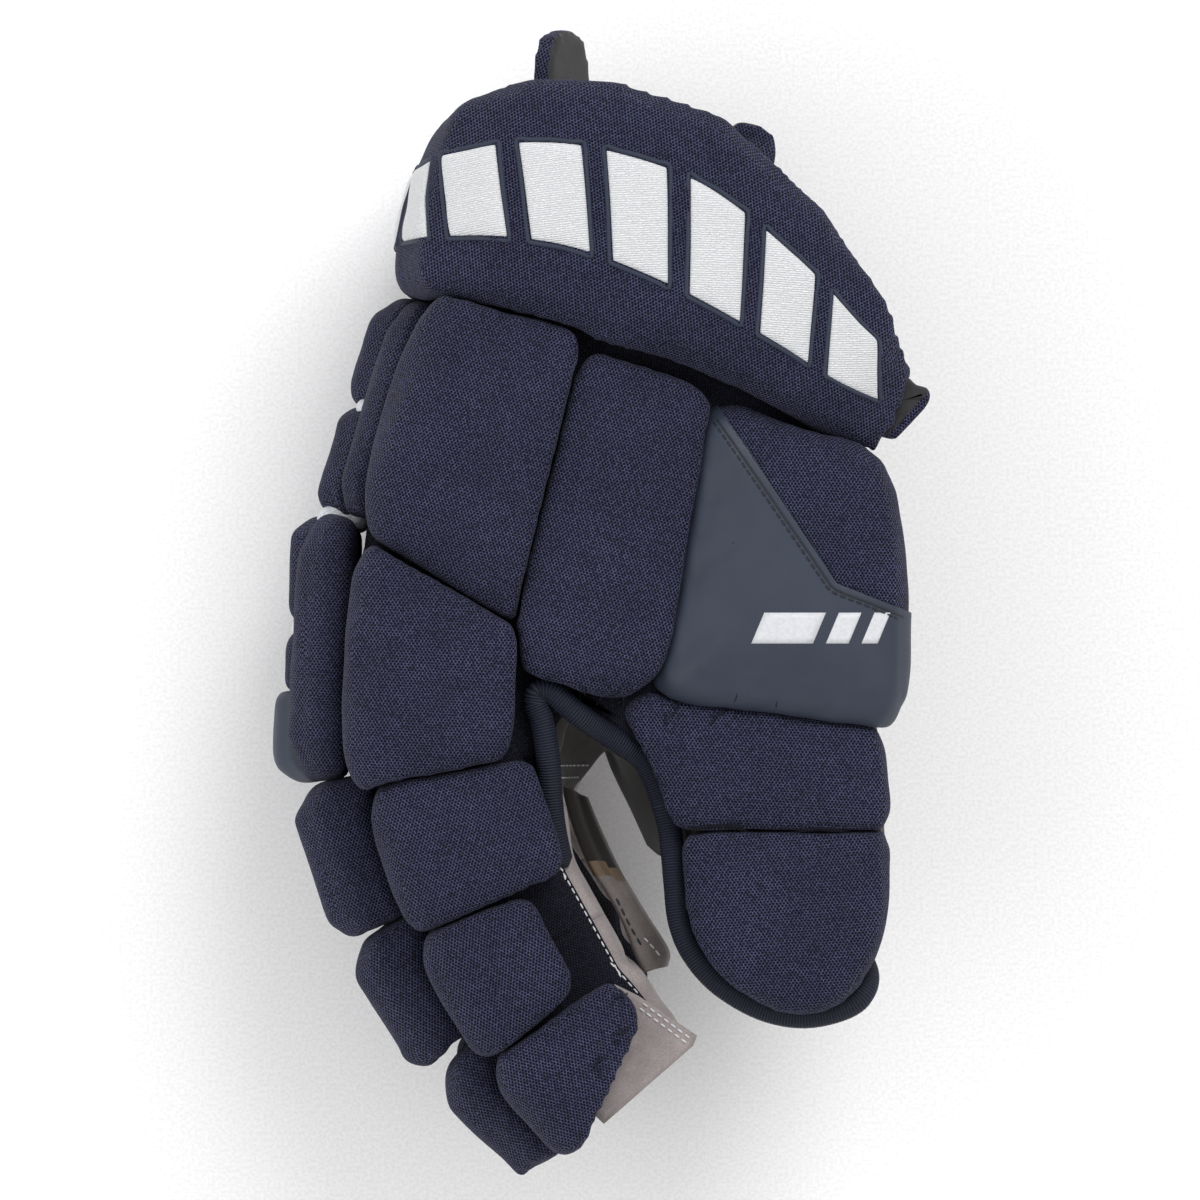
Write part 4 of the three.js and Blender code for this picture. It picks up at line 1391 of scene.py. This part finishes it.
def make_stripes():
    """White tapes in the gaps between the ring finger's rolls."""
    for node in ("flex_stripe_1", "flex_stripe_2", "flex_stripe_3"):
        obj = remeshed(node + "_tape", NODES[node].data, 0.8 * MM, 2)
        swell(obj, 2.2)
        smoothed(obj, 0, 1)
        shade_smooth(obj.data)
        dress(obj, TAPE)
        lay_threads(obj, (0, 0, 1))
        place_piece(obj, "hand", "stripe", node)


make_tabs()
make_palm_tab()
make_stripes()


# ------------------------------------------------------------------ crotch and palm details
CROTCH_TOP = [(-13.4, -79, 109), (-15.6, -62, 113), (-17.8, -44, 115), (-18.2, -31, 116),
              (-14, -31, 116), (-6.8, -37, 114.5), (0, -42, 110.5), (8, -48, 103), (15, -56, 99.5),
              (19.6, -66, 99), (22, -79, 100)]
CROTCH_LOW = [(-11, -79, 97), (-10.5, -66, 88), (-9, -59, 80), (-6, -55, 76), (-1, -48.8, 75),
              (2, -46.8, 75), (4.5, -49, 76), (7, -55.5, 77), (10, -62, 78), (13.5, -69, 79),
              (18.5, -80, 81)]


def make_crotch():
    """Suede between the index finger and the thumb, hung inside the braid."""
    top, low = np.array(CROTCH_TOP, float), np.array(CROTCH_LOW, float)
    inner = low + (-4, 3, -14)
    rows = [top, top * 0.6 + low * 0.4 + (-0.5, 1.0, 2), low, inner]
    obj = grid_mesh("crotch_suede", fine_grid(rows, 4, 4), wrap=False)
    dress(obj, OLIVE, DEEP_SHADE_SUEDE)
    # The crotch's thumb side, deep under the braid, takes the near-black suede: painted shade.
    paint(obj, lambda centre, normal: np.where(centre[:, 0] > 3, 1, 0))
    thicken(obj, 0.9, 0)
    lay_grain(obj, -40)
    place_across(obj, ("hand", "thumb_base"), (0, -42, 0), (9, -52, 0), "dark_suede")
    return obj


FLAP_LEFT = [(-12, -58), (-8.6, -71), (-3.6, -83), (1.6, -91), (6.5, -100), (10.8, -111), (13.5, -116)]
FLAP_RIGHT = [(-5, -62), (-1, -71.5), (4.9, -84.1), (9.5, -92), (14.4, -100), (20.4, -109.6),
              (20, -114.4)]


def make_flap():
    """The palm's overlay behind the index finger: a dark inside, a label and a suede end."""
    left, right = (spline(np.array(side, float), 6) for side in (FLAP_LEFT, FLAP_RIGHT))
    shares = np.linspace(0, 1, 9)
    grid = np.zeros((len(left), len(shares), 3))
    for k, s in enumerate(shares):
        grid[:, k, :2] = left * (1 - s) + right * s
        grid[:, k, 2] = 96 - 9 * s * s + 1.2 * math.sin(s * 9)
    obj = grid_mesh("palm_flap", grid, wrap=False)
    thicken(obj, 1.4, 0)
    # The flap's dark inside is the near-black suede: painted shade.
    dress(obj, DEEP_SHADE_SUEDE, LABEL, SHADED_TAUPE)

    # Faces past the label take the darker taupe copy: painted shade at the flap's end.
    def choose(centre, normal):
        along = centre[:, 1] + 0.25 * centre[:, 0]
        return np.where(along > -82.2, 0, np.where(along > -86, 1, 2))

    paint(obj, choose)
    lay_grain(obj, 30)
    place_piece(obj, "index_middle", "palm_suede")
    tree = tree_of(obj)
    dark = dropped(tree, [(4.5, -93), (9, -102), (12.5, -108)], 0.15)
    sew("flap_row_dark", dark, (2.4, 1.1, 0.4), DARK_THREAD, "index_middle", "braid")
    white = dropped(tree, [(13.2, -105.5), (16, -108.5), (18.8, -112)], 0.15)
    sew("flap_row_white", white, (2.0, 0.8, 0.3), THREAD, "index_middle", "stripe")


def make_web():
    """Dark knit that fills the fork between the side roll, the thumb base and the braid."""
    fork = [(-25, -20), (22, -22), (27, -31), (29, -62), (22, -62), (17.5, -54), (11, -46.5), (3, -40),
            (-3, -36), (-14, -28), (-25, -28)]
    obj = slab("fork_knit", fork, [(0, 103), (0, 109), (0.8, 111), (2, 112), (4, 112.4)], 3)
    wrinkled(obj, 0.5)
    dress(obj, GUSSET_AND_SHADE_KNIT)
    lay_grain(obj, -30)
    place_across(obj, ("hand", "thumb_base"), (0, -37, 0), (8, -46, 0), "knit")


make_flap()
make_web()


GUSSET_SEAM = 36.2  # its depth from the back of the finger


def gusset_line():
    """Where the index finger's gusset is sewn to its palm, as (body, points) for each bone."""
    rows = []
    for bone, ts in zip(BONES, ((31, 38, 44), (0, 10, 20, 30, 40), (0, 7, 14))):
        place = bone_place("index", bone)
        rows.append((bone, [place(t, GUSSET_SEAM, 0)[:2] for t in ts]))
    return rows


def make_stitching():
    """White stitches where the index finger's inside and the palm show."""
    tree = tree_of(make_crotch(), piece("hand_bag"))
    lines = [[(-15.5, -51.6), (-3.2, -51.9)], [(-15.2, -55.4), (-4.6, -55.6)]]
    rows = [stitches(f"row_{i}", dropped(tree, line, 0.15), 2.1, 0.8, 0.3)
            for i, line in enumerate(lines)]
    place_group("palm_stitches", rows, THREAD, "hand", "stripe")
    tree = tree_of(*[piece("stall_index_" + bone) for bone in BONES])
    for bone, line in gusset_line():
        sew(f"gusset_stitches_{bone}", dropped(tree, line, 0.15), (1.9, 0.8, 0.28), THREAD,
            f"index_{bone}", "stripe")
    tree = tree_of(piece("fingertip_palm"))
    rows = []
    for i in (0, 1):
        line = [(12.6 - i, -124.8 - 1.5 * i), (27.2 - i, -135.6 - 1.5 * i)]
        rows.append(stitches(f"tip_row_{i}", dropped(tree, line, 0.2), 1.9, 0.8, 0.3))
    place_group("fingertip_stitches", rows, THREAD, "index_distal", "stripe")


FINGERTIP = [(-8, -128), (4, -119), (11.6, -122.7), (29.4, -134.9), (28.2, -138), (0.6, -162.2),
             (-10, -152)]


def make_fingertip():
    """The suede palm piece of the index fingertip, folded round its side."""
    edge = np.array(FINGERTIP, float)
    middle = edge.mean(0)
    count = 6
    rows = []
    for share in np.linspace(0.05, 1, 8):
        ring = middle + (edge - middle) * share
        sides = zip(ring, np.roll(ring, -1, 0))
        rows.append([a + (b - a) * k / count for a, b in sides for k in range(count)])
    rows = np.array(rows)
    height = 115.6 + 0.35 * np.sin(rows[:, :, 0] * 0.22 + rows[:, :, 1] * 0.16)
    obj = grid_mesh("fingertip_palm", np.dstack([rows, height]), (True, False))
    thicken(obj, 0.9, 0)
    dress(obj, TAUPE)
    lay_grain(obj, 40)
    place_piece(obj, "index_distal", "palm_suede")


def loose_thread(name, tree, start, reach):
    """A frayed end of yarn that lies over the cloth from a place, in millimetres."""
    turn = rng.uniform(0, 2 * math.pi)
    path, at = [], np.array(start, float)
    for lift in (-0.3, 0.5, 0.9, 0.6):
        hit = drop(tree, at[0], at[1], lift)
        if hit is not None:
            path.append(hit)
        turn += rng.normal(0, 0.7)
        at += reach / 3 * np.array((math.cos(turn), math.sin(turn)))
    return tube(name, path, 0.28, 6, 4) if len(path) > 2 else None


def make_loose_threads():
    """Yarn ends in the crotch, under the base block, and where the fingertip's knit is cut."""
    crotch = [((-20, -25), (24, -33))] * 16 + [((15, -33), (60, -36))] * 8
    fingertip = [((2, -120), (9, -124))] * 4 + [((-4, -150), (7, -126))] * 6
    pads = ("thumb_side_roll", "thumb_base_block", "thumb_base_pad", "index_distal_roll",
            "index_lower_roll")
    tree = tree_of(piece("fork_knit"), piece("fingertip_palm"), *[PADS[n] for n in pads])
    places = (("hand", "crotch_threads", crotch), ("index_distal", "fingertip_threads", fingertip))
    for body, name, boxes in places:
        made = []
        for k, ((x0, y0), (x1, y1)) in enumerate(boxes):
            share = rng.uniform()
            start = (x0 + (x1 - x0) * share, y0 + (y1 - y0) * share + rng.normal(0, 0.8))
            made.append(loose_thread(f"{name}_{k}", tree, start, rng.uniform(3, 6.5)))
        place_group(name, [m for m in made if m is not None], BRAID, body, "braid")


def make_thumb_seam():
    """The sewn seam across the thumb, where its two pads meet."""
    seam = float(HINGE["thumb_tip_hinge"][1])
    tree = tree_of(PADS["thumb_base_pad"], PADS["thumb_tip_pad"])
    line = []
    for x in np.linspace(27.5, 87, 22):
        line.append((x, seam + 0.5 * math.sin(x * 0.21) + (0.9 if x < 44 else 0)))
    ridge = tube("thumb_seam", dropped(tree, line, -0.35), 0.9, 8, 2)
    dress(ridge, GUSSET_AND_SHADE_KNIT)
    lay_grain(ridge)
    place_piece(ridge, "thumb_base", "braid")
    beside = dropped(tree, [(x, y + 1.5) for x, y in line], 0.1)
    sew("thumb_seam_stitches", beside, (1.8, 1.0, 0.26), BRAID, "thumb_base", "braid")


make_fingertip()
make_stitching()
make_loose_threads()
make_thumb_seam()


# ------------------------------------------------------------------ the palm
def palm_point(tree, y, z, lift):
    """The point on the palm at a height and depth, seen along the X axis."""
    hit = tree.ray_cast(Vector((120, y, z)) * MM, Vector((-1, 0, 0)))[0]
    x = palm_x(y) if hit is None else hit[0] / MM
    return np.array((x + lift, y, z))


OVERLAY_Y = (-34, 54)
OVERLAY_Z = (30, 88)


def overlay_point(tree, y, z, lift):
    """A point of the overlay, which widens towards the wrist."""
    return palm_point(tree, y, z + 0.12 * (y - 10) * (z - 59) / 40, lift)


def make_palm_overlay():
    """A second layer of suede over the heart of the palm, sewn down with a double row."""
    tree = tree_of(piece("hand_bag"))
    ys, zs = np.linspace(*OVERLAY_Y, 30), np.linspace(*OVERLAY_Z, 22)
    grid = np.array([[overlay_point(tree, y, z, 0.5) for z in zs] for y in ys])
    obj = grid_mesh("palm_overlay", grid, wrap=False)
    thicken(obj, 0.8, 0)
    # The overlay takes the darker taupe copy: painted shade.
    dress(obj, SHADED_TAUPE)
    lay_grain(obj, 0)
    place_piece(obj, "hand", "palm_suede")
    tree = tree_of(obj)
    rows = []
    for margin in (2.5, 5):
        y0, y1, z0, z1 = (OVERLAY_Y[0] + margin, OVERLAY_Y[1] - margin,
                          OVERLAY_Z[0] + margin, OVERLAY_Z[1] - margin)
        corners = [(y0, z0), (y0, z1), (y1, z1), (y1, z0), (y0, z0)]
        for i, ((ya, za), (yb, zb)) in enumerate(zip(corners, corners[1:])):
            places = zip(np.linspace(ya, yb, 24), np.linspace(za, zb, 24))
            line = [overlay_point(tree, y, z, 0.1) for y, z in places]
            rows.append(stitches(f"overlay_row_{margin}_{i}", line, 2.4, 0.9, 0.3, 1))
    place_group("overlay_stitches", rows, DARK_THREAD, "hand", "braid")


make_palm_overlay()


# ------------------------------------------------------------------ what stays as the CAD has it
for node, obj in NODES.items():
    if not obj.hide_render:
        lay_grain(obj, grain_angle(node))
        dress(obj, SLOT_MATERIAL[SLOT_OF[node]])


# ------------------------------------------------------------------ stage
def stage():
    bpy.ops.mesh.primitive_plane_add(size=8, location=(0, 0, -0.0002))
    floor = bpy.context.object
    floor.name = "floor"
    dress(floor, moulded("floor_white", (0.97, 0.97, 0.975), 0.9))
    floor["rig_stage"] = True

    world = bpy.data.worlds.new("studio")
    bpy.context.scene.world = world
    world.use_nodes = True
    world.node_tree.nodes["Background"].inputs[0].default_value = (1, 1, 1, 1)
    world.node_tree.nodes["Background"].inputs[1].default_value = 0.74

    def softbox(name, place, size, power):
        light = bpy.data.lights.new(name, "AREA")
        light.size = size
        light.energy = power
        lamp = bpy.data.objects.new(name, light)
        bpy.context.scene.collection.objects.link(lamp)
        lamp.location = place
        lamp.rotation_euler = (Vector((0, 0, 0.08)) - Vector(place)).to_track_quat("-Z", "Y").to_euler()

    softbox("key", (0.6, 1.2, 1.5), 0.9, 19)
    softbox("fill", (-1.2, -0.4, 1.3), 1.2, 8)

    lens = bpy.data.cameras.new("camera")
    lens.sensor_width = 36
    lens.lens = 36 * (CAMERA_HEIGHT - FOCUS_HEIGHT) / VIEW_WIDTH
    camera = bpy.data.objects.new("camera", lens)
    bpy.context.scene.collection.objects.link(camera)
    camera.location = (-0.6 * MM, -0.1 * MM, CAMERA_HEIGHT)
    bpy.context.scene.camera = camera
    bpy.context.scene.view_settings.view_transform = "Standard"


stage()

boxes = {"cad": cad_box, "visual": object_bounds()}
{k: [list(map(float, corner)) for corner in v] for k, v in boxes.items()}
